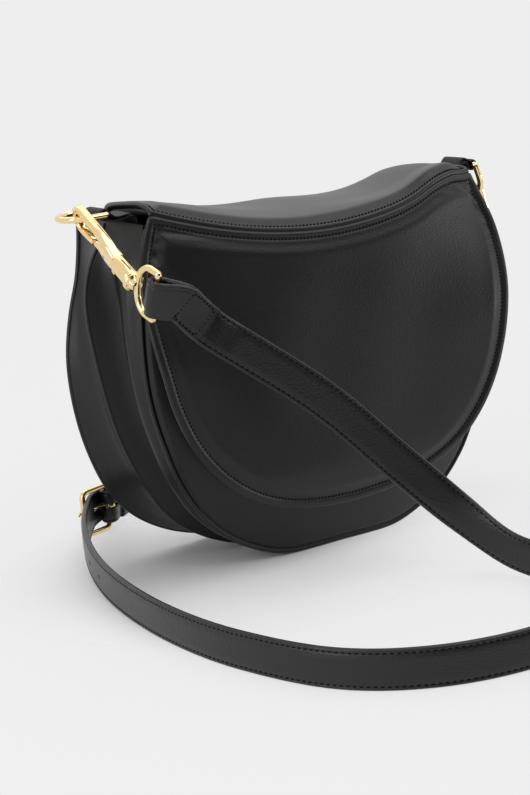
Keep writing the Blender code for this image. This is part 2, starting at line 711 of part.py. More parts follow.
def clawPath():
    top = Vector((CLAW_OFFSET, 0.0, CLAW_CENTRE))
    points = [Vector((0.0, 0.0, BARREL_LENGTH * 0.6)), Vector((CLAW_RADIUS * 0.3, 0.0, BARREL_LENGTH)),
              Vector((CLAW_RADIUS * 0.8, 0.0, GATE_PIVOT_L)), Vector((CLAW_RADIUS * 1.05, 0.0, CHEEK_TOP * 1.15))]
    for a in range(0, 181, 20):
        points.append(top + Vector((CLAW_RADIUS * math.cos(math.radians(a)), 0.0,
                                    CLAW_RADIUS * math.sin(math.radians(a)))))
    points.append(Vector((CLAW_OFFSET - CLAW_RADIUS * 0.98, 0.0, (CLAW_CENTRE + NOSE_L) / 2)))
    points.append(Vector((CLAW_OFFSET - CLAW_RADIUS * 0.88, 0.0, NOSE_L)))
    return points


def rod(name, radius, half, place, steps=12, kind=None, home=cutters):
    # A short round bar along Y about the place
    turn = place @ Matrix.Rotation(math.radians(90), 4, "X")
    return turned(name, ((0.0, -half), (radius, -half), (radius, half), (0.0, half)), kind, turn, steps, home)


def makeHook(label, place, loopWay, barWay):
    claw = tube(f"hook_{label}_body", clawPath(), CLAW_WIRE, GOLD)
    shoulder = BARREL_LENGTH * 1.08
    combine(claw, turned("barrel", ((0.0, GAP), (BARREL_RADIUS, GAP), (BARREL_RADIUS, BARREL_LENGTH),
                                    (BARREL_RADIUS * 0.8, shoulder), (0.0, shoulder)), None, Matrix(), 16,
                         cutters), "UNION")
    combine(claw, block("cheek", (-BARREL_RADIUS, -CHEEK_THICK / 2, BARREL_LENGTH * 0.9),
                        (BARREL_RADIUS * 1.25, CHEEK_THICK / 2, CHEEK_TOP), None, None, cutters, OVERRUN), "UNION")
    combine(claw, turned("bore", ((0.0, -OVERRUN), (STEM_RADIUS + GAP, -OVERRUN),
                                  (STEM_RADIUS + GAP, STEM_DEPTH + GAP), (0.0, STEM_DEPTH + GAP)), None, Matrix(),
                         12, cutters), "DIFFERENCE")
    slotFloor = BARREL_RADIUS * 0.45
    combine(claw, block("slot", (-BARREL_RADIUS - OVERRUN, -GATE_THICK / 2 - GAP, BARREL_LENGTH * 0.75),
                        (slotFloor, GATE_THICK / 2 + GAP, CHEEK_TOP + OVERRUN), None, None, cutters), "DIFFERENCE")
    pinPlace = Matrix.Translation((-BARREL_RADIUS * 0.3, 0.0, GATE_PIVOT_L))
    combine(claw, rod("pin hole", PIN_RADIUS + GAP, CHEEK_THICK, pinPlace), "DIFFERENCE")
    pin = rod(f"hook_{label}_pin", PIN_RADIUS, CHEEK_THICK / 2, place @ pinPlace, 12, STEEL, parts)
    spring = block(f"hook_{label}_spring", (slotFloor - GATE_THICK * 0.4, -GATE_THICK / 2, BARREL_LENGTH * 0.8),
                   (slotFloor - GAP, GATE_THICK / 2, GATE_PIVOT_L - GATE_THICK), STEEL, place)
    eye = pinPlace.translation
    tip = Vector((CLAW_OFFSET - CLAW_RADIUS * 0.88, 0.0, GATE_TIP_L))
    gate = tube(f"hook_{label}_gate", [eye + Vector((-GATE_THICK * 0.2, 0.0, 0.0)),
                                       Vector((tip.x * 0.9, 0.0, (GATE_PIVOT_L + GATE_TIP_L) / 2)), tip],
                GATE_THICK / 2 - GAP / 2, GOLD)
    lever = tube("lever", [eye + Vector((-GATE_THICK * 0.2, 0.0, 0.0)),
                           Vector((-BARREL_RADIUS * 1.4, 0.0, BARREL_LENGTH * 1.12))], GATE_THICK / 2 - GAP, None,
                 home=cutters)
    combine(gate, lever, "UNION")
    combine(gate, rod("eye", GATE_THICK * 0.75, GATE_THICK / 2, pinPlace, 14), "UNION")
    combine(gate, rod("knob", KNOB_RADIUS, GATE_THICK * 0.9,
                      Matrix.Translation((-BARREL_RADIUS * 1.5, 0.0, BARREL_LENGTH * 1.06))), "UNION")
    combine(gate, rod("gate hole", PIN_RADIUS + GAP, CHEEK_THICK, pinPlace), "DIFFERENCE")
    claw.matrix_world = place
    gate.matrix_world = place
    swivel = makeSwivel(label, place, loopWay, barWay)
    pivot(f"hook {label} gate axis", place @ eye, [gate])
    pivot(f"hook {label} swivel axis", place.translation, [swivel])
    return [claw, pin, spring]


def makeSwivel(label, place, loopWay, barWay):
    # Headed stem, collar and a D-shaped loop whose bar carries the strap; the loop leans a little in the collar
    turn = place.to_3x3().inverted()
    way = (turn @ Vector(loopWay)).normalized()
    bar = turn @ Vector(barWay)
    bar = (bar - way * bar.dot(way)).normalized()
    half = STRAP_WIDTH / 2 + 3 * GAP + LOOP_WIRE
    middle = way * LOOP_REACH
    points = [middle + bar * half]
    for a in range(0, 181, 15):
        c, n = math.cos(math.radians(a)), math.sin(math.radians(a))
        points.append(middle - way * LOOP_SIDE + bar * half * c - way * (LOOP_HEIGHT - LOOP_SIDE) * n)
    points.append(middle - bar * half)
    loop = tube(f"hook_{label}_swivel", points, LOOP_WIRE, GOLD, closed=True)
    crown = LOOP_REACH - LOOP_HEIGHT
    collar = turned("collar", ((0.0, -crown - LOOP_WIRE * 0.6), (COLLAR_RADIUS * 0.55, -crown - LOOP_WIRE * 0.6),
                               (COLLAR_RADIUS * 0.75, -COLLAR_THICK - GAP), (COLLAR_RADIUS, -COLLAR_THICK),
                               (COLLAR_RADIUS, -GAP), (STEM_RADIUS, -GAP), (STEM_RADIUS, STEM_DEPTH),
                               (0.0, STEM_DEPTH)), None, Matrix(), 16, cutters)
    combine(loop, collar, "UNION")
    loop.matrix_world = place
    return loop


def hookPlace(side, tilt, seat, hang, roll):
    # The claw's bend sits on the ring's wire, and the hook hangs from there
    down = Vector(hang).normalized()
    onRing = ringPoint(side, tilt, seat)
    tangent = (ringPoint(side, tilt, seat + 1) - ringPoint(side, tilt, seat - 1)).normalized()
    across = (tangent - down * tangent.dot(down)).normalized() * side
    across = Matrix.Rotation(math.radians(roll), 3, down) @ across
    spine = across.cross(-down)
    drop = CLAW_CENTRE + CLAW_RADIUS - CLAW_WIRE - SEAT - RING_WIRE
    origin = onRing + down * drop - spine * CLAW_OFFSET
    return frameMatrix(origin, spine, across, -down), onRing


def barFrame(place, reach, bar):
    way = Vector(reach).normalized()
    along = Vector(bar)
    along = (along - way * along.dot(way)).normalized()
    return place.translation + way * LOOP_REACH, along


def makeHooks():
    bars = {}
    for side, label, tilt, seat, hang, roll, reach, bar in (
            (-1, "left", LEFT_RING_TILT, LEFT_SEAT, LEFT_HANG, LEFT_ROLL, LEFT_REACH, LEFT_BAR),
            (1, "right", RIGHT_RING_TILT, RIGHT_SEAT, RIGHT_HANG, RIGHT_ROLL, RIGHT_REACH, RIGHT_BAR)):
        place, onRing = hookPlace(side, tilt, seat, hang, roll)
        pivot(f"hook {label} on ring", onRing, makeHook(label, place, reach, bar))
        bars[label] = barFrame(place, reach, bar)
    return bars


hookBars = makeHooks()


# Strap

def strapPoint(shares, high=HEIGHT):
    x, y, z = shares
    return Vector((x * HALF_WIDTH, y * HEIGHT, STRAP_WIDTH / 2 + GAP + z * high))


def pathFrames(points, startWidth=None, endWidth=None):
    # Point, heading and width direction along the strap: it stands on edge, and turns to the bars at its ends
    frames = []
    run = 0.0
    total = pathLength(points)
    for i, p in enumerate(points):
        heading = (points[min(i + 1, len(points) - 1)] - points[max(i - 1, 0)]).normalized()
        wide = Vector((0.0, 0.0, 1.0))
        for other, away in ((startWidth, run), (endWidth, total - run)):
            if other is not None:
                wide = wide.lerp(other, 1 - ease(away / FOLD_LENGTH))
        wide = (wide - heading * wide.dot(heading)).normalized()
        frames.append((p, heading, wide))
        if i + 1 < len(points):
            run += (points[i + 1] - p).length
    return frames


def foldBack(frames, centre, radius, side):
    # The end of the strap: round a bar and back against its own inner face for FOLD_LENGTH
    point, heading, wide = frames[0]
    normal = wide.cross(heading) * side
    tail = []
    run = 0.0
    for i, (p, h, w) in enumerate(frames):
        if i:
            run += (p - frames[i - 1][0]).length
        if run > FOLD_LENGTH:
            break
        apart = 2 * radius + (STRAP_THICK + GAP - 2 * radius) * ease(run / (FOLD_LENGTH * 0.4))
        tail.append((p - w.cross(h) * side * apart, h, w))
    bend = []
    for a in range(150, 0, -30):
        c, n = math.cos(math.radians(a)), math.sin(math.radians(a))
        bend.append((centre + normal * radius * c - heading * radius * n, heading, wide))
    return tail[::-1] + bend + frames


def strapSheet(name, frames, tip=False):
    half = STRAP_WIDTH / 2
    rows = [[p - w * half, p + w * half] for p, h, w in frames]
    if tip:
        for row, share in zip(rows[-2:], TIP_SHARES):
            middle = (row[0] + row[1]) / 2
            row[:] = [middle.lerp(p, share) for p in row]
    return sheet(name, rows, LEATHER, STRAP_THICK, offset=0.0, mirror=False)


def startAt(centre, along, toward, side):
    # First points beside a bar: the strap leaves it square to the bar
    way = toward - centre
    way = (way - along * way.dot(along)).normalized()
    radius = LOOP_WIRE + GAP + STRAP_THICK / 2
    start = centre + along.cross(way) * side * radius
    return [start, start + way * STRAP_STEP, start + way * 2 * STRAP_STEP], radius


buckleAt = strapPoint(BUCKLE_SHARES)
heading = Vector((math.cos(math.radians(BUCKLE_HEADING)), math.sin(math.radians(BUCKLE_HEADING)), 0.0))
outward = Vector((-heading.y, heading.x, 0.0))
upward = Vector((0.0, 0.0, 1.0))
foldRadius = BUCKLE_WIRE + GAP + STRAP_THICK / 2
overBar = foldRadius + STRAP_THICK + GAP
outerBar = overBar / 2 + STRAP_THICK / 2 + GAP * 2 + BUCKLE_WIRE


def buckleSpot(run, out, up=0.0):
    return buckleAt + heading * run + outward * out + upward * up


def makeLongStrap():
    centre, along = hookBars["left"]
    ends, radius = startAt(centre, along, strapPoint(LONG_ROUTE_SHARES[0]), -1)
    route = ends + [strapPoint(p) for p in LONG_ROUTE_SHARES]
    route += [buckleSpot(-BUCKLE_LENGTH, overBar / 2), buckleSpot(0.0, overBar), buckleSpot(TAIL_LENGTH, overBar)]
    count = round(pathLength(route) / STRAP_STEP)
    frames = pathFrames(smooth(route, count), along)
    return strapSheet("strap_long", foldBack(frames, centre, radius, -1), True), frames


def makeShortStrap():
    centre, along = hookBars["right"]
    points = [strapPoint(p, centre.z) for p in SHORT_ROUTE_SHARES]
    ends, radius = startAt(centre, along, points[-1], -1)
    route = [buckleSpot(TAIL_LENGTH * share, foldRadius) for share in (0.0, 0.35, 0.7, 1.05, 1.25)]
    route += points + ends[::-1]
    count = round(pathLength(route) / STRAP_STEP)
    frames = pathFrames(smooth(route, count), None, along)
    frames = foldBack(frames, buckleAt, foldRadius, 1)
    back = [(p, -h, w) for p, h, w in frames[::-1]]
    return strapSheet("strap_short", foldBack(back, centre, radius, -1))


def cutBox(obj, low, high):
    # A box cut given along the strap, outward and up from the buckle's bar
    combine(obj, block("slot", low, high, None, frameMatrix(buckleAt, heading, outward, upward), cutters),
            "DIFFERENCE")


def punchHoles(obj, frames):
    # Round holes at equal steps, counted back from the one that the prong is in
    run = [0.0]
    for (p, h, w), (q, i, v) in zip(frames, frames[1:]):
        run.append(run[-1] + (q - p).length)
    used = run[-1] - TAIL_LENGTH - BUCKLE_LENGTH * 0.3
    for k in range(1, HOLE_COUNT):
        goal = used - k * HOLE_PITCH
        j = max(i for i, r in enumerate(run) if r <= goal)
        share = (goal - run[j]) / (run[j + 1] - run[j])
        centre = frames[j][0].lerp(frames[j + 1][0], share)
        h, w = frames[j][1], frames[j][2]
        place = frameMatrix(centre, h, w, h.cross(w))
        combine(obj, turned("hole", ((0.0, -STRAP_THICK), (HOLE_RADIUS, -STRAP_THICK), (HOLE_RADIUS, STRAP_THICK),
                                     (0.0, STRAP_THICK)), None, place, 10, cutters), "DIFFERENCE")


longStrap, longFrames = makeLongStrap()
shortStrap = makeShortStrap()
punchHoles(longStrap, longFrames)
prongRoom = PRONG_WIRE + 2 * GAP
cutBox(longStrap, (-BUCKLE_LENGTH * 0.62, 0.0, -prongRoom), (-OVERRUN, overBar + 2 * STRAP_THICK, prongRoom))
cutBox(shortStrap, (-FOLD_LENGTH / 4, -FOLD_LENGTH / 4, -prongRoom), (FOLD_LENGTH / 4, FOLD_LENGTH / 4, prongRoom))


# Buckle and keepers

def makeBuckle():
    half = STRAP_WIDTH / 2 + BUCKLE_SIDE_ROOM + BUCKLE_WIRE
    corner = BUCKLE_CORNER
    points = []
    for run, up, start in ((0.0, half, 0), (1.0, half, 90), (1.0, -half, 180), (0.0, -half, 270)):
        for a in (start, start + 45, start + 90):
            c, n = math.cos(math.radians(a)), math.sin(math.radians(a))
            inRun = (corner if run == 0.0 else BUCKLE_LENGTH - corner) - corner * c
            inUp = up - math.copysign(corner, up) + corner * n
            points.append(buckleSpot(-inRun, inRun / BUCKLE_LENGTH * outerBar, inUp))
    frame = tube("buckle_frame", points, BUCKLE_WIRE, GOLD, closed=True)
    over = outerBar + BUCKLE_WIRE + GAP + PRONG_WIRE
    wrap = BUCKLE_WIRE + GAP + PRONG_WIRE
    line = [buckleSpot(wrap * math.cos(math.radians(a)), wrap * math.sin(math.radians(a))) for a in range(-150, 91, 40)]
    line += [buckleSpot(-BUCKLE_LENGTH * 0.3, overBar), buckleSpot(-BUCKLE_LENGTH * 0.6, over),
             buckleSpot(-BUCKLE_LENGTH, over), buckleSpot(-BUCKLE_LENGTH - 2 * BUCKLE_WIRE, over - PRONG_WIRE)]
    prong = tube("buckle_prong", line, PRONG_WIRE, GOLD)
    return frame, prong


def makeKeeper(name, run):
    low = foldRadius - 1.5 * STRAP_THICK - 2 * GAP
    high = overBar + STRAP_THICK / 2 + GAP
    side = STRAP_WIDTH / 2 + GAP
    turn = frameMatrix(buckleSpot(run, 0.0), heading, outward, upward)
    keeper = block(name, (-KEEPER_WIDTH / 2, low - KEEPER_THICK, -side - KEEPER_THICK),
                   (KEEPER_WIDTH / 2, high + KEEPER_THICK, side + KEEPER_THICK), LEATHER)
    combine(keeper, block("keeper hole", (-KEEPER_WIDTH, low, -side), (KEEPER_WIDTH, high, side), None, None,
                          cutters), "DIFFERENCE")
    keeper.matrix_world = turn
    return keeper


frame, prong = makeBuckle()
pivot("buckle bar", buckleAt, [frame, prong])
makeKeeper("keeper_fixed", FIXED_KEEPER_RUN)
slider = makeKeeper("keeper_sliding", SLIDING_KEEPER_RUN)
pivot("keeper slide", buckleSpot(SLIDING_KEEPER_RUN, 0.0), [slider])
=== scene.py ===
# Crossbody bag in smooth black faux leather: a padded saddle flap over two gusseted compartments,
# gold D-rings, swivel hooks and an adjustable strap that lies round the bag. Metres, front towards -Y.
import json
import math

import bmesh
import bpy
import numpy as np
from mathutils import Matrix, Vector


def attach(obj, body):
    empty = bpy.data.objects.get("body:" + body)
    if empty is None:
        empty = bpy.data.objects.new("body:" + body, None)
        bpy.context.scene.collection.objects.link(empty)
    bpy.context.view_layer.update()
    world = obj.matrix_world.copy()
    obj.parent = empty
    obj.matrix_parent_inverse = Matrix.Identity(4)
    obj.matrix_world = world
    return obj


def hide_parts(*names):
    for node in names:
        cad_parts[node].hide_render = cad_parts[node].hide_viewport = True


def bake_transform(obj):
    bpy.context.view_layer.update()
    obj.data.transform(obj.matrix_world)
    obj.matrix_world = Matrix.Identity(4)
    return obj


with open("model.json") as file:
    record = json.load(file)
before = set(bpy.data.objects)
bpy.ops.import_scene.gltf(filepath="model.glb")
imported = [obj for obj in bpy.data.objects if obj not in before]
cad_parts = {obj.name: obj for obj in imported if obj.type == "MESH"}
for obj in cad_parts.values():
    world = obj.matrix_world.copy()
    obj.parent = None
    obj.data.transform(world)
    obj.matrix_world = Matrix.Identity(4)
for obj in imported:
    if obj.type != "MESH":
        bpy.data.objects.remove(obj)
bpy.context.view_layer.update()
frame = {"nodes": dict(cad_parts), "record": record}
print("frame loaded:", len(frame["nodes"]), "nodes")

# The body's sizes, the same as the solids', then its edge seams, its hills and the fineness of outlines
body = dict(halfWidth=0.113, midHalfWidth=0.1135, frontHalfWidth=0.101, height=0.179, saddleDip=0.0145,
            backY=0.0305, frontY=-0.03, panelThick=0.0024, dividerThick=0.002, gussetThick=0.0018,
            liningThick=0.0008, backDome=0.003, frontDome=0.0095, flange=0.0012, mouthDrop=0.0085,
            dividerDrop=0.014, gap=0.0003, seamAt=0.0026, seamHalf=0.0009, backGroove=0.0009,
            frontGroove=0.0011, hills=0.0003, hillEdge=0.02, bottomRound=0.0012, columns=420,
            steps=180)
backShares = ((0.875, 1.0), (0.885, 0.92), (0.913, 0.82), (0.96, 0.73), (0.995, 0.63), (1.003, 0.54),
              (0.988, 0.43), (0.949, 0.32), (0.879, 0.21), (0.765, 0.12), (0.596, 0.052), (0.398, 0.012),
              (0.24, 0.0), (0.0, 0.0))
midShares = ((0.87, 0.985), (0.905, 0.93), (0.965, 0.87), (1.0, 0.8), (1.005, 0.72), (0.99, 0.63),
             (0.968, 0.535), (0.939, 0.44), (0.893, 0.345), (0.826, 0.25), (0.732, 0.15), (0.582, 0.07),
             (0.402, 0.018), (0.24, 0.0), (0.0, 0.0))
frontShares = ((0.93, 0.97), (0.952, 0.9), (0.978, 0.82), (0.994, 0.74), (1.004, 0.65), (1.003, 0.55),
               (0.983, 0.465), (0.944, 0.375), (0.898, 0.29), (0.844, 0.225), (0.77, 0.16), (0.644, 0.088),
               (0.465, 0.03), (0.27, 0.0), (0.0, 0.0))
# Depth of the bellows' folds: share of the way from back to front, depth
rearFolds = ((0.0, 0.0), (0.2, 0.0036), (0.5, 0.006), (0.8, 0.0036), (1.0, 0.0))
frontFolds = ((0.0, 0.0), (0.12, 0.0079), (0.28, 0.0105), (0.5, 0.0037), (0.72, 0.0), (0.9, 0.0013),
              (1.0, 0.0021))

flap = dict(halfWidth=0.105, hemZ=0.0235, frontY=-0.0485, tuck=0.004, cornerSetback=0.0135,
            topHalfWidth=0.0924, topTaper=0.0085, seamEndRise=0.0005, seamDip=0.0185, topCrown=0.0042,
            topEndCrown=0.0066, seat=0.0009, thick=0.0031, topThick=0.003, liningFrom=0.0032,
            liningThick=0.0009, padding=0.0019, sideInset=0.0047, seamInset=0.0031, grooveDeep=0.0005,
            grooveHalf=0.0007, welt=0.0004, pucker=0.0005, puckerPitch=0.0071, hills=0.0007,
            topHills=0.0006, hillSize=0.06, hillFrom=(0.006, 0.02), seamReach=0.007, padFrom=0.0003,
            padRise=0.0065, puckerSide=0.02, puckerUp=(0.12, 0.04), puckerAt=0.0026, puckerHalf=0.0017,
            bend=0.014)
flapShares = ((0.88, 1.0), (0.94, 0.91), (0.978, 0.83), (0.99, 0.74), (0.985, 0.64), (0.966, 0.54),
              (0.928, 0.42), (0.857, 0.3), (0.75, 0.195), (0.6, 0.105), (0.42, 0.043), (0.213, 0.01),
              (0.0, 0.0))
crownShares = ((0.0, 0.0), (0.03, 0.5), (0.12, 0.85), (0.35, 1.0), (0.65, 1.0), (0.85, 0.8), (0.95, 0.4),
               (1.0, 0.0))

# Bold stitches on the flap, finer and longer ones on the strap
flapStitch = dict(pitch=0.002, length=0.0015, thread=0.00105)
strapStitch = dict(pitch=0.0029, length=0.0022, thread=0.0006)
# How the soft top has settled, as height, place across the bag and width: down at the right, at the front
# corner and at the rim's end there, up in hills at the left and by the seam. Then how far back and up it acts
settle = dict(right=(0.0055, 0.0, 0.07), corner=(0.0034, 0.076, 0.0165), rim=(0.005, 0.06, 0.035),
              left=(0.0025, -0.062, 0.03), seam=(0.0022, 0.066, 0.014), puff=(0.004, 0.073, 0.018),
              droop=(0.0022, 0.011), behind=(-0.045, 0.03), ahead=(-0.035, 0.02), atRim=(0.022, 0.006),
              above=(0.1, 0.06))


# General shapes

def ease(t):
    t = np.clip(t, 0.0, 1.0)
    return t * t * (3 - 2 * t)


def climb(value, start, span):
    return ease((value - start) / span)


def bell(value, middle, wide):
    return np.exp(-((value - middle) / wide) ** 2)


def unit(v):
    return v / np.maximum(np.linalg.norm(v, axis=-1, keepdims=True), 1e-12)


def stacked(*parts):
    # Points from their coordinates, spread to one shape
    return np.stack(np.broadcast_arrays(*parts), axis=-1)


def circle(degrees):
    a = np.radians(degrees)
    return np.cos(a), np.sin(a)


def squareTo(ways, along):
    # What is left of each way when its part along the line is taken out
    return unit(ways - along * (ways * along).sum(-1, keepdims=True))


def runOf(line):
    # Length from the start to each point
    return np.concatenate([[0.0], np.cumsum(np.linalg.norm(np.diff(line, axis=0), axis=1))])


def resample(line, count, closed=False):
    # The same polyline with count equal steps
    line = np.vstack([line, line[:1]]) if closed else line
    run = runOf(line)
    at = np.linspace(0.0, run[-1], count + 1)
    out = stacked(*(np.interp(at, run, values) for values in line.T))
    return out[:-1] if closed else out


def worn(loop, times):
    # A closed line with its corners worn round
    for _ in range(times):
        loop = (np.roll(loop, 1, axis=0) + 2 * loop + np.roll(loop, -1, axis=0)) / 4
    return loop


def curveThrough(points, count):
    # Catmull-Rom curve through the points: half of 2b + (c-a)t + (2a-5b+4c-d)t^2 + (3b-a-3c+d)t^3
    p = np.asarray(points, float)
    p = np.vstack([2 * p[0] - p[1], p, 2 * p[-1] - p[-2]])
    a, b, c, d = (p[k:len(p) - 3 + k, None, :] for k in range(4))
    t = np.linspace(0.0, 1.0, 30, endpoint=False)[None, :, None]
    fine = (2 * b + (c - a) * t + (2 * a - 5 * b + 4 * c - d) * t ** 2
            + (3 * b - a - 3 * c + d) * t ** 3) / 2
    return resample(np.vstack([fine.reshape(-1, p.shape[1]), p[-2:-1]]), count)


def alongOf(line, closed=False):
    return unit(np.roll(line, -1, axis=0) - np.roll(line, 1, axis=0) if closed else np.gradient(line, axis=0))


def distanceTo(loop, points):
    # Least distance from each point to the closed loop, both flat, by the foot on each straight piece
    a, b = loop, np.roll(loop, -1, axis=0)
    ab = b - a
    flat = points.reshape(-1, 2)
    out = np.empty(len(flat))
    batch = 4000
    for start in range(0, len(flat), batch):
        p = flat[start:start + batch, None, :]
        t = np.clip(((p - a) * ab).sum(-1) / (ab ** 2).sum(-1), 0.0, 1.0)
        out[start:start + batch] = np.linalg.norm(p - a - ab * t[..., None], axis=-1).min(axis=1)
    return out.reshape(points.shape[:-1])


def settled(points):
    # z less the falls and plus the hills, which fade out down the bag
    x, y, z = (points[..., k] for k in range(3))

    def across(key, shape):
        high, start, span = settle[key]
        return high * shape(x, start, span)
    fall = (across("right", climb) - across("left", bell)) * climb(y, *settle["behind"])
    fall = fall + (across("corner", climb) - across("seam", bell)) * (1 - climb(y, *settle["ahead"]))
    fall = fall + across("rim", climb) * climb(y, *settle["atRim"])
    return stacked(x, y, z - fall * climb(z, *settle["above"]))


def gridFaces(rows, columns, wrapRows=False, wrapColumns=False):
    r = np.arange(rows if wrapRows else rows - 1)[:, None]
    c = np.arange(columns if wrapColumns else columns - 1)[None, :]
    r2, c2 = (r + 1) % rows, (c + 1) % columns
    quads = stacked(r * columns + c, r * columns + c2, r2 * columns + c2, r2 * columns + c)
    return quads.reshape(-1, 4).tolist()


def cappedFaces(rows, columns):
    return (gridFaces(rows, columns, wrapColumns=True)
            + [list(range(columns))[::-1], list(range((rows - 1) * columns, rows * columns))])


def addObject(name, data):
    obj = bpy.data.objects.new(name, data)
    bpy.context.scene.collection.objects.link(obj)
    return obj


def makePiece(name, vertices, faces, material, smoothAngle=50.0, merge=2e-6):
    # One mesh object at the origin: doubles merged, faces turned outwards
    mesh = bpy.data.meshes.new(name)
    mesh.from_pydata(np.asarray(vertices, float).reshape(-1, 3).tolist(), [], faces)
    work = bmesh.new()
    work.from_mesh(mesh)
    if merge:
        bmesh.ops.remove_doubles(work, verts=work.verts[:], dist=merge)
        bmesh.ops.dissolve_degenerate(work, edges=work.edges[:], dist=merge)
    bmesh.ops.recalc_face_normals(work, faces=work.faces[:])
    work.to_mesh(mesh)
    work.free()
    mesh.shade_smooth()
    mesh.set_sharp_from_angle(angle=math.radians(smoothAngle))
    mesh.materials.append(material)
    return addObject(name, mesh)


def dress(obj, bodyName, *nodes):
    # What is sewn to the back panel and crosses the hinge bends there, and the rest moves with its body
    if bodyName == "hinge":
        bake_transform(obj)
    else:
        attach(obj, bodyName)
    if nodes:
        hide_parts(*nodes)


def placeAt(origin, xAxis, yAxis, zAxis):
    turn = Matrix((Vector(xAxis), Vector(yAxis), Vector(zAxis))).transposed().to_4x4()
    return Matrix.Translation(Vector(origin)) @ turn


# Materials

def feed(tree, node, inputs):
    # Each input gets a value, or a socket to link
    for key, value in inputs.items():
        if isinstance(value, bpy.types.NodeSocket):
            tree.links.new(value, node.inputs[key])
        else:
            node.inputs[key].default_value = value


def addNode(tree, kind, inputs=None, **settings):
    # One node with its settings and inputs
    node = tree.nodes.new(kind)
    for key, value in settings.items():
        setattr(node, key, value)
    feed(tree, node, inputs or {})
    return node


def linear(hexColour):
    c = np.array([int(hexColour[k:k + 2], 16) for k in (1, 3, 5)]) / 255
    return (*np.where(c <= 0.04045, c / 12.92, ((c + 0.055) / 1.055) ** 2.4).tolist(), 1.0)


def startMaterial(name):
    made = bpy.data.materials.new(name)
    made.use_nodes = True
    tree = made.node_tree
    return made, tree, tree.nodes["Principled BSDF"], addNode(tree, "ShaderNodeTexCoord").outputs["Object"]


def ramp(tree, factor, low, high, stops=(0.3, 0.7)):
    node = addNode(tree, "ShaderNodeValToRGB", {"Fac": factor})
    for element, place, colour in zip(node.color_ramp.elements, stops, (low, high)):
        element.position = place
        element.color = linear(colour)
    return node.outputs["Color"]


def ranged(tree, value, low, high):
    node = addNode(tree, "ShaderNodeMapRange", {"Value": value, "To Min": low, "To Max": high})
    return node.outputs["Result"]


def noise(tree, where, scale, detail, rough=0.5):
    return addNode(tree, "ShaderNodeTexNoise", {"Vector": where, "Scale": scale, "Detail": detail,
                                                "Roughness": rough}).outputs["Fac"]


def waves(tree, where, scale, way, **inputs):
    return addNode(tree, "ShaderNodeTexWave", {"Vector": where, "Scale": scale, **inputs},
                   bands_direction=way).outputs["Fac"]


def bumps(tree, height, strength, distance):
    return addNode(tree, "ShaderNodeBump", {"Height": height, "Strength": strength,
                                            "Distance": distance}).outputs["Normal"]


def combined(tree, operation, first, second):
    return addNode(tree, "ShaderNodeMath", {0: first, 1: second}, operation=operation).outputs[0]


leather = dict(dark="#0e0e0f", light="#141415", grain=0.0008, bump=0.00006, rough=(0.36, 0.44))
strapLeather = dict(dark="#141415", light="#1d1d1e", grain=0.0007, bump=0.00013, rough=(0.27, 0.38))
# The tabs get a darker, rougher copy of the leather. The darker colour is painted shade for where they sit in
# the hollow under the flap's top
shadedTabLook = dict(dark="#090909", light="#0d0d0e", grain=0.0007, bump=0.00006, rough=(0.55, 0.65))


def fauxLeather(name, look):
    # Polyurethane-coated fabric, embossed with a fine grain: a soft sheen, broken up by pores under 1 mm
    made, tree, shader, where = startMaterial(name)
    cells = addNode(tree, "ShaderNodeTexVoronoi", {"Vector": where, "Scale": 1 / look["grain"],
                                                   "Randomness": 0.9}, feature="SMOOTH_F1")
    pores = noise(tree, where, 0.6 / look["grain"], 4.0, 0.6)
    cloud = noise(tree, where, 14.0, 3.0)
    height = combined(tree, "ADD", cells.outputs["Distance"], pores)
    feed(tree, shader, {"Base Color": ramp(tree, cloud, look["dark"], look["light"]),
                        "Roughness": ranged(tree, pores, *look["rough"]),
                        "Normal": bumps(tree, height, 1.0, look["bump"]), "Specular IOR Level": 0.4})
    return made


def platedMetal(name, colour, rough, scratch):
    # Polished casting under thin plating: almost a mirror, with a slight haze from handling
    made, tree, shader, where = startMaterial(name)
    haze = noise(tree, where, 350.0, 5.0)
    feed(tree, shader, {"Base Color": linear(colour), "Metallic": 1.0,
                        "Roughness": ranged(tree, haze, rough, rough + 0.06),
                        "Normal": bumps(tree, haze, 0.4, scratch)})
    return made


def wovenLining(name):
    # Plain-woven polyester, drawn as crossing ribs much coarser than the real ones so that they show. Bands
    # repeat every tau / 20 of a unit
    made, tree, shader, where = startMaterial(name)
    ribs = 0.00377
    crossed = combined(tree, "MAXIMUM", *(waves(tree, where, math.tau / 20 / ribs, way, Distortion=0.4,
                                                Detail=1.0) for way in ("X", "Z")))
    feed(tree, shader, {"Base Color": ramp(tree, crossed, "#1a1a1c", "#2b2b2e", (0.2, 1.0)),
                        "Normal": bumps(tree, crossed, 0.6, 0.0001), "Roughness": 0.72,
                        "Sheen Weight": 0.3})
    return made


def spunThread(name):
    # Bonded polyester thread: dull black, a little lighter and darker from stitch to stitch
    made, tree, shader, where = startMaterial(name)
    tone = waves(tree, where, 120.0, "DIAGONAL", Distortion=1.0)
    feed(tree, shader, {"Base Color": ramp(tree, tone, "#050506", "#0c0c0d", (0.2, 0.8)),
                        "Roughness": 0.85, "Specular IOR Level": 0.15})
    return made


def sinteredMagnet(name):
    # Ferrite: a pressed, fired oxide, dark grey and slightly rough
    made, tree, shader, where = startMaterial(name)
    grit = noise(tree, where, 2500.0, 3.0)
    feed(tree, shader, {"Base Color": ramp(tree, grit, "#1d1d20", "#34343a"), "Roughness": 0.65,
                        "Metallic": 0.2})
    return made


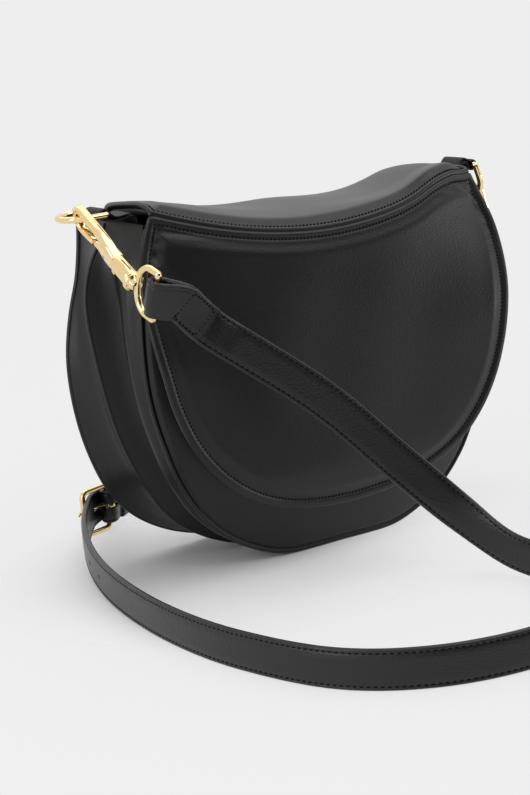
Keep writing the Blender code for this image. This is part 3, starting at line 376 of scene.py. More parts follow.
smoothLeather = fauxLeather("smooth faux leather", leather)
grainedLeather = fauxLeather("grained faux leather", strapLeather)
# Darker copy for the tabs: painted shade
shadedTabLeather = fauxLeather("matt faux leather darkened as painted shade", shadedTabLook)
goldPlate = platedMetal("pale gold plated zinc", "#f4d9a4", 0.07, 0.000006)
nickelPlate = platedMetal("nickel plated steel", "#b9b6ae", 0.22, 0.00001)
liningCloth = wovenLining("woven polyester lining")
blackThread = spunThread("bonded black thread")
ferrite = sinteredMagnet("sintered ferrite")
slotOf = {made.name: "black_leather" for made in (smoothLeather, grainedLeather, shadedTabLeather, blackThread)}
slotOf.update({goldPlate.name: "gold_metal", liningCloth.name: "black_lining"})
print("materials made")


# Body outlines

def topEdge(x):
    share = np.minimum(np.abs(x) / (backShares[0][0] * body["halfWidth"]), 1.0)
    return body["height"] - body["saddleDip"] * (1 - share ** 3)


def halfOutline(shares, halfWidth, inset=0.0):
    # Left half of an outline (x, z), bottom middle first, moved inward along its normal by inset
    flat = curveThrough(np.array(shares) * [-halfWidth, body["height"]], body["steps"])
    along = alongOf(flat)
    inward = stacked(-along[:, 1], along[:, 0])
    inward[-1] = (0.0, 1.0)
    moved = flat + inward * inset
    # The flat bottom runs into the sides in a soft curve: half of z + sqrt(z^2 + k^2), less a little near
    # the floor
    k = body["bottomRound"]
    rise = moved[:, 1] - inset
    rise = (rise + np.hypot(rise, k)) / 2 - 0.38 * k * np.exp(-rise / (3 * k))
    moved[:, 1] = inset + np.maximum(rise, 0.0)
    return moved[::-1]


def closeLoop(half, rounding=6):
    # The half from bottom middle to top middle and its mirror image, evenly spaced
    loop = np.vstack([half, half[-2:0:-1] * [-1, 1]])
    return worn(resample(loop, body["columns"], closed=True), rounding)


def panelLoop(shares, halfWidth, topDrop, inset=0.0):
    side = halfOutline(shares, halfWidth, inset)
    corner = side[-1]
    cornerDrop = topEdge(corner[0]) - corner[1]
    k = np.linspace(0.0, 1.0, 90)[1:]
    x = corner[0] * (1 - k)
    drop = cornerDrop + (topDrop + inset - cornerDrop) * ease(k * 2)
    return closeLoop(np.vstack([side, stacked(x, topEdge(x) - drop)]))


def outwardOf(loop):
    along = alongOf(loop, closed=True)
    outward = stacked(along[:, 1], -along[:, 0])
    return outward if ((loop - loop.mean(axis=0)) * outward).sum() > 0 else -outward


# The outer rows of a panel in millimetres from its edge; the inner ones spread from there to the middle
nearEdge = (24, 20, 17, 14.5, 12.5, 11, 9.8, 8.8, 7.9, 7.1, 6.4, 5.8, 5.2, 4.7, 4.2, 3.7, 3.2, 2.7, 2.2,
            1.7, 1.2, 0.8, 0.4, 0.0)
panelDepth, innerFrom, innerRows = 90, 30, 14


def panelShell(name, loop, middle, face, thick, towards, material):
    # A closed lens: P(s, t) = middle + s (edge(t) - middle), with y = face(x, z, s, distance to the edge)
    # outside, the same plus the thickness inside, and a half-round rim between them. towards is +1 for a
    # front, -1 for a back
    outward = outwardOf(loop)
    r = thick / 2
    rim = loop - outward * r
    shares = np.concatenate([np.linspace(0.0, 1 - innerFrom / panelDepth, innerRows),
                             1 - np.array(nearEdge) / panelDepth])
    flat = middle + shares[:, None, None] * (rim - middle)
    y = face(flat[..., 0], flat[..., 1], shares[:, None], distanceTo(loop, flat))
    outer = stacked(flat[..., 0], y, flat[..., 1])
    turn = np.linspace(0.0, math.pi, 9)[1:-1, None, None]
    bend = rim + outward * r * np.sin(turn)
    edge = stacked(bend[..., 0], y[-1] + towards * r * (1 - np.cos(turn[..., 0])), bend[..., 1])
    inner = (outer + np.array([0.0, towards * thick, 0.0]))[::-1]
    grid = np.concatenate([outer, edge, inner])
    return makePiece(name, settled(grid), gridFaces(*grid.shape[:2], wrapColumns=True), material)


def unevenness(x, z, seed, size=0.03):
    # Slow hills and hollows of a hand-sized surface, from a few crossing waves
    rng = np.random.default_rng(seed)
    count = 7
    total = np.zeros(np.broadcast(x, z).shape)
    for _ in range(count):
        way = rng.uniform(0, math.tau)
        wave = math.tau / (size * rng.uniform(0.6, 1.8))
        total += np.sin(wave * (x * math.cos(way) + z * math.sin(way)) + rng.uniform(0, math.tau))
    return total / count


def domed(y, out=0, dome=0.0, groove=0.0, hills=0.0, seed=0):
    # y = y0 + out (dome (1 - s^4) - groove along the seam + hills)
    def face(x, z, s, d):
        rise = dome * (1 - s ** 4) - groove * bell(d, body["seamAt"], body["seamHalf"])
        return y + out * (rise + hills * unevenness(x, z, seed) * ease(d / body["hillEdge"]))
    return face


def makeBody():
    b = body
    middle = np.array([0.0, b["height"] / 2])
    back, front = (backShares, b["halfWidth"], 0.0), (frontShares, b["frontHalfWidth"], b["mouthDrop"])
    divider = midShares, b["midHalfWidth"], b["dividerDrop"]
    panel, cloth = b["panelThick"], b["liningThick"]
    inside = 2 * b["flange"] + b["gussetThick"] + cloth + 5 * b["gap"]
    parts = (
        ("back_panel_leather", "back_panel", back, 0.0, panel, -1,
         domed(b["backY"], 1, b["backDome"], b["backGroove"], b["hills"], 3)),
        ("front_panel_leather", "front_panel", front, 0.0, panel, 1,
         domed(b["frontY"], -1, b["frontDome"], b["frontGroove"], b["hills"], 4)),
        ("divider_leather", "center_divider", divider, 0.0, b["dividerThick"], 1,
         domed(-b["dividerThick"] / 2)),
        ("back_lining_cloth", "back_panel_lining", back, inside, cloth, -1,
         domed(b["backY"] - panel - 0.0006, 1, b["backDome"])),
        ("front_lining_cloth", "front_panel_lining", front, inside + frontFolds[-1][1], cloth, 1,
         domed(b["frontY"] + panel + 0.0023, -1, b["frontDome"])))
    for name, node, sizes, inset, thick, towards, face in parts:
        material = liningCloth if inset else smoothLeather
        dress(panelShell(name, panelLoop(*sizes, inset), middle, face, thick, towards, material), "bag", node)


def gussetSheet(name, sharesA, halfA, yA, sharesB, halfB, yB, folds, thick, inset, material):
    # P(u, v) = A(u) + v (B(u) - A(u)), sunk inward by depth(v) fade(u): a strip between two outlines with
    # its folds, weaker at the mouth and on the floor, and the same moved in by its thickness
    lineA = halfOutline(sharesA, halfA, body["flange"] + inset)
    lineB = halfOutline(sharesB, halfB, body["flange"] + inset)
    along = alongOf(lineA)
    inward = stacked(along[:, 1], -along[:, 0])
    inward[0] = (0.0, 1.0)
    u = np.linspace(0.0, 1.0, len(lineA))[:, None]
    fade = ease((1 - u) * 5) * (0.35 + 0.65 * ease(u * 4))
    curve = curveThrough(folds, 200)
    v = np.linspace(0.0, 1.0, 37)[None, :]
    depth = np.interp(v, curve[:, 0], curve[:, 1]) * fade
    flat = lineA[:, None] * (1 - v[..., None]) + lineB[:, None] * v[..., None]
    flat = flat + inward[:, None] * depth[..., None]
    outer, inner = (stacked(p[..., 0], yA + (yB - yA) * v, p[..., 1])
                    for p in (flat, flat + inward[:, None] * thick))
    half = np.concatenate([outer, inner[:, ::-1]], axis=1)
    grid = np.concatenate([half[:0:-1] * [-1, 1, 1], half])
    rows, columns = grid.shape[:2]
    faces = gridFaces(rows, columns, wrapColumns=True)
    for start in (0, (rows - 1) * columns):
        faces += [[start + k, start + k + 1, start + columns - 2 - k, start + columns - 1 - k]
                  for k in range(columns // 2 - 1)]
    return makePiece(name, settled(grid), faces, material)


def makeGussets():
    b = body
    middleY = b["dividerThick"] / 2 + b["gap"]
    backY = b["backY"] - b["panelThick"] - b["gap"]
    frontY = b["frontY"] + b["panelThick"] + b["gap"]
    middle = midShares, b["midHalfWidth"]
    for label, sizes in (
            ("rear", (backShares, b["halfWidth"], backY, *middle, middleY, rearFolds)),
            ("front", (*middle, -middleY, frontShares, b["frontHalfWidth"], frontY, frontFolds))):
        dress(gussetSheet(f"{label}_gusset_leather", *sizes, b["gussetThick"], 0.0, smoothLeather), "bag",
              f"{label}_gusset")
        dress(gussetSheet(f"{label}_gusset_cloth", *sizes, b["liningThick"], b["gussetThick"] + 2 * b["gap"],
                          liningCloth), "bag", f"{label}_lining")


makeBody()
makeGussets()
print("body made")


# Flap

def sideShare(x):
    # 0 in the middle, 1 at the ends of the seam
    return np.minimum(np.abs(x) / flap["topHalfWidth"], 1.0)


def seamZ(x):
    return body["height"] + flap["seamEndRise"] - flap["seamDip"] * (1 - sideShare(x) ** 1.9)


def seamY(x):
    return flap["frontY"] + flap["cornerSetback"] * sideShare(x) ** 2.5


def flapFaceY(x, z):
    up = ease((z - flap["hemZ"]) / (seamZ(x) - flap["hemZ"]) * 2 - 1)
    low = 1 - ease((z - flap["hemZ"]) / (body["height"] - flap["hemZ"]) * 6)
    return flap["frontY"] + flap["cornerSetback"] * sideShare(x) ** 2.5 * up + flap["tuck"] * low


def flapLoop(inset=0.0):
    cornerX = flapShares[0][0] * flap["halfWidth"]
    endZ = float(seamZ(cornerX))
    shares = np.array(flapShares)
    flat = stacked(-shares[:, 0] * flap["halfWidth"], flap["hemZ"] + shares[:, 1] * (endZ - flap["hemZ"]))
    side = curveThrough(flat, body["steps"])[::-1]
    x = -cornerX * (1 - np.linspace(0.0, 1.0, 90)[1:])
    loop = closeLoop(np.vstack([side, stacked(x, seamZ(x))]), 2)
    return loop - outwardOf(loop) * inset


def stitchInset(x, z):
    # The stitches run closer to the edge along the seam than down the sides and the hem
    near = bell(z, seamZ(x), flap["seamReach"])
    return flap["sideInset"] + (flap["seamInset"] - flap["sideInset"]) * near


def sewnEdge(d, inset):
    # Height over the plain face at distance d from an edge: a rounded welt, the stitches' groove, padding
    welt = flap["welt"] * bell(d, inset * 0.5, inset * 0.3)
    groove = flap["grooveDeep"] * bell(d, inset, flap["grooveHalf"])
    return welt - groove + flap["padding"] * climb(d, inset + flap["padFrom"], flap["padRise"])


def puckers(x, z, d, inset):
    # The padding is drawn in past the stitches, unevenly, and most near the flap's top corners
    near = bell(np.abs(x), flap["topHalfWidth"], flap["puckerSide"]) * climb(z, *flap["puckerUp"])
    ripple = np.cos(math.tau * (z + 0.3 * x) / flap["puckerPitch"] + 1.3 * np.sin(z * 260.0))
    return flap["pucker"] * near * ripple * bell(d, inset + flap["puckerAt"], flap["puckerHalf"])


def paddedFace(x, z, s, d):
    inset = stitchInset(x, z)
    return (flapFaceY(x, z) - sewnEdge(d, inset) - puckers(x, z, d, inset)
            - flap["hills"] * unevenness(x, z, 8, flap["hillSize"]) * climb(d, *flap["hillFrom"]))


def topProfile(x, share):
    # Height and depth of the top piece: out of the back panel, over the crown and down to the seam
    curve = curveThrough(crownShares, 300)
    crown = np.interp(share, curve[:, 0], curve[:, 1])
    side = sideShare(x)
    backZ = topEdge(x) + body["gap"]
    rise = flap["topCrown"] + (flap["topEndCrown"] - flap["topCrown"]) * side ** 2
    z = backZ + (seamZ(x) + flap["seat"] - backZ) * share ** (1.6 + 1.4 * side ** 2) + rise * crown
    return body["backY"] + (seamY(x) + body["gap"] - body["backY"]) * share, z


def topHalf(share):
    return flap["topHalfWidth"] - flap["topTaper"] * (1 - share) ** 1.5


def topSurface(x, share, trim=0.0):
    # The profile, puffed up towards the right end, where its side then hangs down behind the seam
    y, z = topProfile(x, share)
    high, middle, wide = settle["puff"]
    droop, over = settle["droop"]
    hang = (1 - ease((topHalf(share) - trim - x) / over)) * ease((1 - share) * 4)
    return y, z + high * bell(x, middle, wide) * 4 * share * (1 - share) - droop * hang


def topSheet(name, trim, first, last, drop, thick, sewn, material):
    # P(u, v) runs over the crown from back to seam between sides that draw in towards the back. The
    # underside lies its thickness below, and both faces close on each other round every edge
    u = np.sin(np.linspace(-math.pi / 2, math.pi / 2, 181))[None, :]
    share = (first + (last - first) * (1 - np.cos(np.linspace(0.0, math.pi, 90))) / 2)[:, None]
    halfWidth = topHalf(share) - trim
    x = u * halfWidth
    surface = stacked(x, *topSurface(x, share, trim))
    steps = np.linalg.norm(np.diff(surface, axis=0), axis=-1)
    run = np.concatenate([np.zeros((1, x.shape[1])), np.cumsum(steps, axis=0)])
    toSeam, toBack, toSide = run[-1] - run, run, halfWidth - np.abs(x)
    along = unit(np.gradient(surface, axis=0))
    inward = unit(stacked(0.0, -along[..., 2], along[..., 1]))
    r = thick / 2
    closing = np.ones_like(x)
    for d in (toSeam, toBack, toSide):
        closing = closing * np.sqrt(np.clip(1 - (1 - np.minimum(d / r, 1.0)) ** 2, 0.0, 1.0))
    lift = 0.0
    if sewn:
        d = np.minimum(toSeam, toSide)
        hills = flap["topHills"] * unevenness(x, surface[..., 1], 5, flap["hillSize"])
        lift = sewnEdge(d, flap["seamInset"]) * ease(toBack / 0.008) * closing
        lift = lift + hills * climb(d, *flap["hillFrom"])
    outer = surface + inward * (drop + r * (1 - closing) - lift)[..., None]
    inner = surface + inward * (drop + r * (1 + closing))[..., None]
    grid = np.concatenate([outer, inner[::-1]])
    rows, columns = grid.shape[:2]
    faces = gridFaces(rows, columns, wrapRows=True)
    for c in (0, columns - 1):
        faces += [[row * columns + c for row in (k, k + 1, rows - 2 - k, rows - 1 - k)]
                  for k in range(len(outer) - 1)]
    return makePiece(name, settled(grid), faces, material)


def makeFlap():
    middle = np.array([0.0, (flap["hemZ"] + float(seamZ(flapShares[0][0] * flap["halfWidth"]))) / 2])
    front = panelShell("flap_front_leather", flapLoop(), middle, paddedFace, flap["thick"], 1, smoothLeather)
    dress(front, "flap", "flap_front")

    def liningFace(x, z, s, d):
        return flapFaceY(x, z) + flap["liningFrom"]
    dress(panelShell("flap_front_cloth", flapLoop(2 * body["flange"]), middle, liningFace,
                     flap["liningThick"], 1, liningCloth), "flap", "flap_front_lining")
    top = topSheet("flap_top_leather", 0.0, 0.0, 1.0, 0.0, flap["topThick"], True, smoothLeather)
    dress(top, "hinge", "flap_top")
    dress(topSheet("flap_top_cloth", 0.002, 0.1, 0.95, flap["topThick"] + 0.0001, flap["liningThick"], False,
                   liningCloth), "hinge", "flap_top_lining")


makeFlap()
print("flap made")


# Strap

strap = dict(width=0.018, thick=0.0026, foldLength=0.036, holeRadius=0.0012, holePitch=0.022, holeCount=6,
             tailLength=0.052, tailReach=0.029, step=0.0013, wire=0.0016, buckleWire=0.0014,
             buckleLength=0.018, stitchInset=0.0019, prongRoom=0.0015, straight=0.0065, comeBack=0.016,
             holeDeep=0.004, seamGroove=(0.00022, 0.0005), middleRise=(0.00025, 0.003))
longRoute = ((-0.8, -0.475, 0.67), (-0.42, -0.535, 0.47), (-0.125, -0.585, 0.27), (0.1, -0.645, 0.11),
             (0.2, -0.765, 0.02), (0.235, -0.945, 0), (0.15, -1.145, 0), (-0.07, -1.285, 0),
             (-0.4, -1.33, 0), (-0.76, -1.27, 0), (-1.03, -1.115, 0), (-1.18, -0.845, 0),
             (-1.225, -0.565, 0), (-1.19, -0.265, 0), (-1.1, -0.005, 0.004), (-0.97, 0.215, 0.02))
# Heights of the short route are shares of the right loop's height
shortRoute = ((0.03, 0.755, 0.0186), (0.32, 0.745, 0.0074), (0.62, 0.655, 0.0074), (0.87, 0.51, 0.0836),
              (1.01, 0.35, 0.2415), (1.075, 0.205, 0.4736), (1.1, 0.105, 0.6872))
buckleShares, buckleHeading = (-0.655, 0.455, 0.026), 39.0
# Middle and direction of each hook loop's bar
hookBars = dict(left=((-0.114899, -0.074772, 0.148948), (0.020733, -0.386345, 0.922121)),
                right=((0.126683, 0.001569, 0.096371), (0.0, 0.915463, 0.402401)))


def strapPoint(shares, high=body["height"]):
    return np.array([shares[0] * body["halfWidth"], shares[1] * body["height"],
                     strap["width"] / 2 + body["gap"] + shares[2] * high])


buckleAt = strapPoint(buckleShares)
heading = np.array([*circle(buckleHeading), 0.0])
outwardWay = np.array([-heading[1], heading[0], 0.0])
foldRadius = strap["buckleWire"] + body["gap"] + strap["thick"] / 2
overBar = foldRadius + strap["thick"] + body["gap"]


def buckleSpot(run, out, up=0.0):
    return buckleAt + heading * run + outwardWay * out + np.array([0.0, 0.0, up])


def startAt(side, toward):
    # First points beside a hook's bar: the strap leaves it square to the bar
    centre, along = (np.array(v) for v in hookBars[side])
    way = squareTo(toward - centre, along)
    radius = strap["wire"] + body["gap"] + strap["thick"] / 2
    start = centre + np.cross(way, along) * radius
    return [start + way * strap["straight"] * k for k in range(3)], centre, along, radius


def strapLine(route, count):
    rough = curveThrough(route, count)
    return resample(rough, round(runOf(rough)[-1] / strap["step"]))


def widthWays(points, startWay=None, endWay=None):
    # The strap stands on edge and turns to the bars at its ends
    run = runOf(points)
    wide = np.tile([0.0, 0.0, 1.0], (len(points), 1))
    for way, away in ((startWay, run), (endWay, run[-1] - run)):
        if way is not None:
            mix = (1 - ease(away / strap["foldLength"]))[:, None]
            wide = wide * (1 - mix) + np.asarray(way) * mix
    return squareTo(wide, alongOf(points))


def foldRound(points, wide, centre, radius, sign, over=False):
    # The end goes round a bar and back along the strap's own face. Where it lies over the strap, it keeps
    # to the line, and under it the strap starts on the bar's far side and comes back where the end stops
    along = alongOf(points)
    normal = np.cross(wide, along) * sign
    run = runOf(points)
    reach = strap["tailReach"] if over else strap["foldLength"]
    apart = strap["thick"] + body["gap"] - 2 * radius
    apart = 2 * radius + apart * ease(run / (strap["foldLength"] * 0.4))
    if over:
        apart = apart * (1 - climb(run, reach, strap["comeBack"]))
    beyond = points - normal * apart[:, None]
    end, rest = (points, beyond) if over else (beyond, points)
    c, s = circle(np.linspace(*((0, 180) if over else (180, 0)), 20)[1:-1, None])
    bend = centre + normal[0] * radius * c - along[0] * radius * s
    kept = run <= reach
    return (np.vstack([end[kept][::-1], bend, rest]),
            np.vstack([wide[kept][::-1], np.tile(wide[0], (len(bend), 1)), wide]), rest)


def strapProfile():
    # Section of a turned-edge strap: round edges, a groove under each seam, a slightly fuller middle
    half, r = strap["width"] / 2, strap["thick"] / 2
    c, s = circle(np.linspace(-90, 90, 9))
    right = stacked(half - r + r * c, r * s)
    x = np.linspace(half - r, -(half - r), 41)[1:-1]
    fromEdge, inset = half - np.abs(x), strap["stitchInset"]
    (deep, wide), (high, over) = strap["seamGroove"], strap["middleRise"]
    top = stacked(x, r + high * climb(fromEdge, inset, over) - deep * bell(fromEdge, inset, wide))
    return np.vstack([right, top, -right, -top])


def ribbon(name, points, wide, roundTip):
    # P(s, t) = point(s) + wide(s) a(t) + normal(s) b(t), drawn in to a half circle at a round tip
    along = alongOf(points)
    wide = squareTo(wide, along)
    normal = np.cross(wide, along)
    profile = strapProfile()
    run = runOf(points)
    away = np.clip((run[-1] - run) / (strap["width"] / 2), 0.0, 1.0)
    scale = np.maximum(np.sqrt(1 - (1 - away) ** 2), 0.2) if roundTip else np.ones_like(run)
    a = profile[:, 0] * scale[:, None]
    grid = points[:, None] + wide[:, None] * a[..., None] + normal[:, None] * profile[:, 1, None]
    return makePiece(name, grid, cappedFaces(*grid.shape[:2]), grainedLeather, smoothAngle=60.0)


def cut(obj, place, ring, half):
    # Takes a prism out of the object: a flat ring drawn out by half its height both ways at the place
    vertices = [place @ Vector((x, y, z)) for z in (-half, half) for x, y in ring]
    tool = makePiece("cutter", vertices, cappedFaces(2, len(ring)), blackThread)
    step = obj.modifiers.new("cut", "BOOLEAN")
    step.operation = "DIFFERENCE"
    step.solver = "EXACT"
    step.object = tool
    bpy.context.view_layer.update()
    shape = obj.evaluated_get(bpy.context.evaluated_depsgraph_get())
    mesh = bpy.data.meshes.new_from_object(shape)
    obj.modifiers.clear()
    obj.data = mesh
    bpy.data.objects.remove(tool)


def cutSlot(obj, left, bottom, right, top):
    # The slot for the prong, in the buckle's frame
    place = placeAt(buckleAt, heading, outwardWay, (0, 0, 1))
    ring = ((left, bottom), (right, bottom), (right, top), (left, top))
    cut(obj, place, ring, strap["prongRoom"])


def makeStrap():
    starts, centre, along, radius = startAt("left", strapPoint(longRoute[0]))
    route = starts + [strapPoint(p) for p in longRoute]
    route += [buckleSpot(-strap["buckleLength"], overBar / 2), buckleSpot(0.0, overBar),
              buckleSpot(strap["tailLength"], overBar)]
    main = strapLine(route, 200)
    wide = widthWays(main, along)
    points, wides, far = foldRound(main, wide, centre, radius, -1, True)
    longStrap = ribbon("strap_long_leather", points, wides, True)
    run = runOf(main)
    used = run[-1] - strap["tailLength"] - strap["buckleLength"] * 0.3
    ring = strap["holeRadius"] * stacked(*circle(np.arange(0, 360, 15)))
    # The prong stands in the first hole, where its slot is
    for k in range(1, strap["holeCount"]):
        j = int(np.searchsorted(run, used - k * strap["holePitch"]))
        h = unit(main[j + 1] - main[j - 1])
        place = placeAt(main[j], h, wide[j], np.cross(h, wide[j]))
        cut(longStrap, place, ring, strap["holeDeep"])
    cutSlot(longStrap, -strap["buckleLength"] * 0.62, 0.0, -0.001, 0.012)
    dress(longStrap, "bag", "strap_long")

    rise = [strapPoint(p, hookBars["right"][0][2]) for p in shortRoute]
    starts, centre, along, radius = startAt("right", rise[-1])
    route = [buckleSpot(strap["tailLength"] * share, foldRadius) for share in (0.0, 0.35, 0.7, 1.05, 1.25)]
    shortMain = strapLine(route + rise + starts[::-1], 160)
    shortWide = widthWays(shortMain, None, along)
    points, wides, _ = foldRound(shortMain, shortWide, buckleAt, foldRadius, 1)
    points, wides, _ = foldRound(points[::-1], wides[::-1], centre, radius, -1)
    shortStrap = ribbon("strap_short_leather", points, wides, False)
    cutSlot(shortStrap, -0.009, -0.009, 0.009, 0.009)
    dress(shortStrap, "bag", "strap_short")
    return main, far, wide, shortMain, shortWide


longNear, longMain, longWide, shortMain, shortWide = makeStrap()
print("strap made")


# Stitches

def stitchRow(name, line, normal, bodyName, stitch=flapStitch):
    # Each stitch is a short thread bent into the leather: P(u, t) = place + along u + side r cos t +
    # up r sin t, with r thinner towards both ends, repeated at every pitch along the line
    run = runOf(line)
    count = int(run[-1] / stitch["pitch"])
    at = (np.arange(count) + 0.5) * run[-1] / count

    def look(points):
        return stacked(*(np.interp(at, run, values) for values in points.T))
    place, up, way = look(line), unit(look(normal)), unit(look(alongOf(line)))
    side = unit(np.cross(up, way))
    up = np.cross(way, side)
    u = np.array([-0.5, -0.42, -0.2, 0.0, 0.2, 0.42, 0.5])
    radius = stitch["thread"] / 2 * np.array([0.3, 0.8, 1.0, 1.0, 1.0, 0.8, 0.3])[:, None]
    dip = -stitch["thread"] * 0.9 * (np.abs(u) * 2)[:, None] ** 3
    t = np.linspace(0, math.tau, 6, endpoint=False)
    ring = (place[:, None, None] + way[:, None, None] * (u * stitch["length"])[:, None, None]
            + side[:, None, None] * (radius * np.cos(t))[..., None]
            + up[:, None, None] * (radius * np.sin(t) + dip)[..., None])
    one = cappedFaces(len(u), len(t))
    faces = [[index + k * ring[0].size // 3 for index in face] for k in range(count) for face in one]
    ring = ring if bodyName == "bag" else settled(ring)
    dress(makePiece(name, ring, faces, blackThread, merge=0), bodyName)


def makeFlapStitches():
    # One row round the front, at the stitches' own distance from its edge
    loop = flapLoop()
    outward = outwardOf(loop)
    line = loop
    for _ in range(3):
        line = loop - outward * stitchInset(line[:, 0], line[:, 1])[:, None]
    line = line[distanceTo(loop, line) > 0.98 * stitchInset(line[:, 0], line[:, 1])]
    line = resample(line, 900, closed=True)
    line = np.vstack([line, line[:1]])
    face = paddedFace(line[:, 0], line[:, 1], 0.9, distanceTo(loop, line))
    path = stacked(line[:, 0], face, line[:, 1])
    stitchRow("flap_front_stitches", path, np.tile([0.0, -1.0, 0.0], (len(path), 1)), "flap")
    # One row along the seam and both sides of the top piece
    share = np.linspace(0.08, 1.0, 400)
    halfWidth = topHalf(share) - flap["seamInset"]
    run = runOf(stacked(*topSurface(halfWidth, share)))
    kept = run[-1] - run > flap["seamInset"]
    share, halfWidth = share[kept], halfWidth[kept]
    x = np.linspace(-halfWidth[-1], halfWidth[-1], 500)[1:-1]
    px = np.concatenate([-halfWidth, x, halfWidth[::-1]])
    pv = np.concatenate([share, np.full(len(x), share[-1]), share[::-1]])
    (y, z), (y2, z2) = topSurface(px, pv), topSurface(px, pv + 0.004)
    normal = unit(stacked(0.0, z2 - z, y - y2))
    path = stacked(px, y, z) - normal * flap["grooveDeep"] * 0.4
    stitchRow("flap_top_stitches", path, normal, "hinge")


def makeStrapStitches():
    half = strap["width"] / 2 - strap["stitchInset"]
    lift = strap["thick"] / 2 - 0.0001
    for label, main, wide, kept in (("long", longMain, longWide, slice(22, -4)),
                                    ("short", shortMain, shortWide, slice(4, -30))):
        normal = np.cross(wide, alongOf(main))
        for k, (sign, face) in enumerate(((1, 1), (-1, 1), (1, -1), (-1, -1))):
            out = normal * face
            line = main + wide * half * sign + out * lift
            stitchRow(f"strap_{label}_stitches_{k + 1}", line[kept], out[kept], "bag", strapStitch)
    # A box of stitches holds the folded end down
    normal = -np.cross(longWide, alongOf(longNear))
    first, last = 10, 20
    side = slice(first, last + 1)
    for k, sign in enumerate((1, -1)):
        line = longNear + longWide * half * sign + normal * lift
        stitchRow(f"strap_box_side_{k + 1}", line[side], normal[side], "bag")
    for k, i in enumerate((first, last)):
        line = longNear[i] + longWide[i] * np.linspace(-half, half, 12)[:, None] + normal[i] * lift
        stitchRow(f"strap_box_end_{k + 1}", line, np.tile(normal[i], (len(line), 1)), "bag")


makeFlapStitches()
makeStrapStitches()
print("stitches made")


# Metal fittings and their leather

fitting = dict(ringWire=0.0016, ringHalf=0.012, ringLeg=0.006, ringY=-0.008, barX=0.107, tabThick=0.001,
               tabWidth=0.016, clawRadius=0.0056, clawCentre=0.046, clawOffset=0.0005, barrelRadius=0.0041,
               barrelLength=0.014, cheekTop=0.027, gatePivot=0.021, gateTip=0.0348, noseAt=0.0355,
               loopHeight=0.0135, loopSide=0.005, prongWire=0.0009, buckleCorner=0.0034,
               keeperWidth=0.007, keeperThick=0.0013, keeperCorner=0.0012, snapZ=0.068, socketY=-0.039468,
               studY=-0.0444, snapRadius=0.009, loopRoom=0.0009, buckleRoom=0.0012, buckleRise=0.0006,
               tabY=-0.01, tabDown=0.008, tabRoom=0.0032, tabFree=(0.095, 0.007))
# Side, height of the bar and tilt in degrees
ringBars = dict(left=(-1, 0.180815, 1.0), right=(1, 0.175115, 72.0))
# Where each hook's swivel sits, its thin way and its long way
hookPlaces = dict(left=((-0.117273, -0.058334, 0.155889), (0.966699, -0.103171, 0.234196),
                        (-0.034009, 0.855227, 0.517137)),
                  right=((0.125239, -0.005651, 0.112796), (-0.014009, 0.99875, 0.047982),
                         (-0.279919, -0.049985, 0.958722)))


def forged(line, across, inPlane, crosswise, square=2.0, closed=False, sides=28, roundEnds=0.0):
    # P(s, t) = line + side a(s) |cos t|^(2/n) + across b(s) |sin t|^(2/n): a wire or casting along a flat
    # path, round for n = 2 and boxy for a larger n; open ends close in over roundEnds
    line = np.asarray(line, float)
    t = np.linspace(0, math.tau, sides, endpoint=False) + math.pi / sides
    across = unit(np.asarray(across, float))
    side = unit(np.cross(alongOf(line, closed), across))
    a, b = (np.broadcast_to(size, len(line)).astype(float) for size in (inPlane, crosswise))
    if roundEnds:
        run = runOf(line)
        near = np.minimum(np.minimum(run, run[-1] - run) / roundEnds, 1.0)
        close = np.maximum(np.sqrt(1 - (1 - near) ** 2), 0.12)
        a, b = a * close, b * close
    c, n = (np.sign(w) * np.abs(w) ** (2 / square) for w in (np.cos(t), np.sin(t)))
    grid = line[:, None] + side[:, None] * (a[:, None] * c)[..., None] + across * (b[:, None] * n)[..., None]
    shape = grid.shape[:2]
    return grid.reshape(-1, 3), gridFaces(*shape, True, True) if closed else cappedFaces(*shape)


def lathed(profile, corner=0.0003, steps=56):
    # P(h, t) = (r cos t, r sin t, h) for a profile (r, h) from axis to axis, its corners broken
    p = np.asarray(profile, float)
    before, after = p[:-2] - p[1:-1], p[2:] - p[1:-1]
    first, last = (np.minimum(corner, 0.4 * np.linalg.norm(v, axis=1, keepdims=True)) * unit(v)
                   for v in (before, after))
    soft = p[1:-1, None] + np.stack([first, (first + last) * 0.29, last], axis=1)
    p = np.vstack([p[:1], soft.reshape(-1, 2), p[-1:]])
    t = np.linspace(0, math.tau, steps, endpoint=False)
    grid = stacked(p[:, :1] * np.cos(t), p[:, :1] * np.sin(t), p[:, 1:])
    return grid.reshape(-1, 3), gridFaces(len(p), steps, wrapColumns=True)


def movedTo(place, shell):
    turn = np.array(place)
    return shell[0] @ turn[:3, :3].T + turn[:3, 3], shell[1]


def facingFront(x, y, z, shell):
    # A turned piece with its axis along -Y
    return movedTo(placeAt((x, y, z), (1, 0, 0), (0, 0, 1), (0, -1, 0)), shell)


def fit(name, shells, bodyName, node, material=goldPlate):
    vertices, faces = [], []
    for points, polygons in shells:
        start = sum(map(len, vertices))
        vertices.append(points)
        faces += [[start + k for k in polygon] for polygon in polygons]
    dress(makePiece(name, np.vstack(vertices), faces, material, smoothAngle=38.0), bodyName, node)


def makeRings():
    f = fitting
    for label, (sign, barZ, tilt) in ringBars.items():
        cosine, sine = circle(np.linspace(-90, 90, 90))
        out = np.concatenate([[0.0], f["ringLeg"] + f["ringHalf"] * cosine, [0.0]])[:, None]
        y = f["ringHalf"] * np.concatenate([[-1.0], sine, [1.0]])[:, None]
        level, down = circle(tilt)
        away = np.array([sign * level, 0.0, -down])
        line = np.array([sign * f["barX"], f["ringY"], barZ]) + out * away + y * [0, 1, 0]
        line = worn(resample(line, 200, closed=True), 3)
        shell = forged(line, np.cross(away, (0, 1, 0)), f["ringWire"], f["ringWire"], closed=True)
        fit(f"ring_{label}_wire", [shell], f"ring_{label}", f"d_ring_{label}")


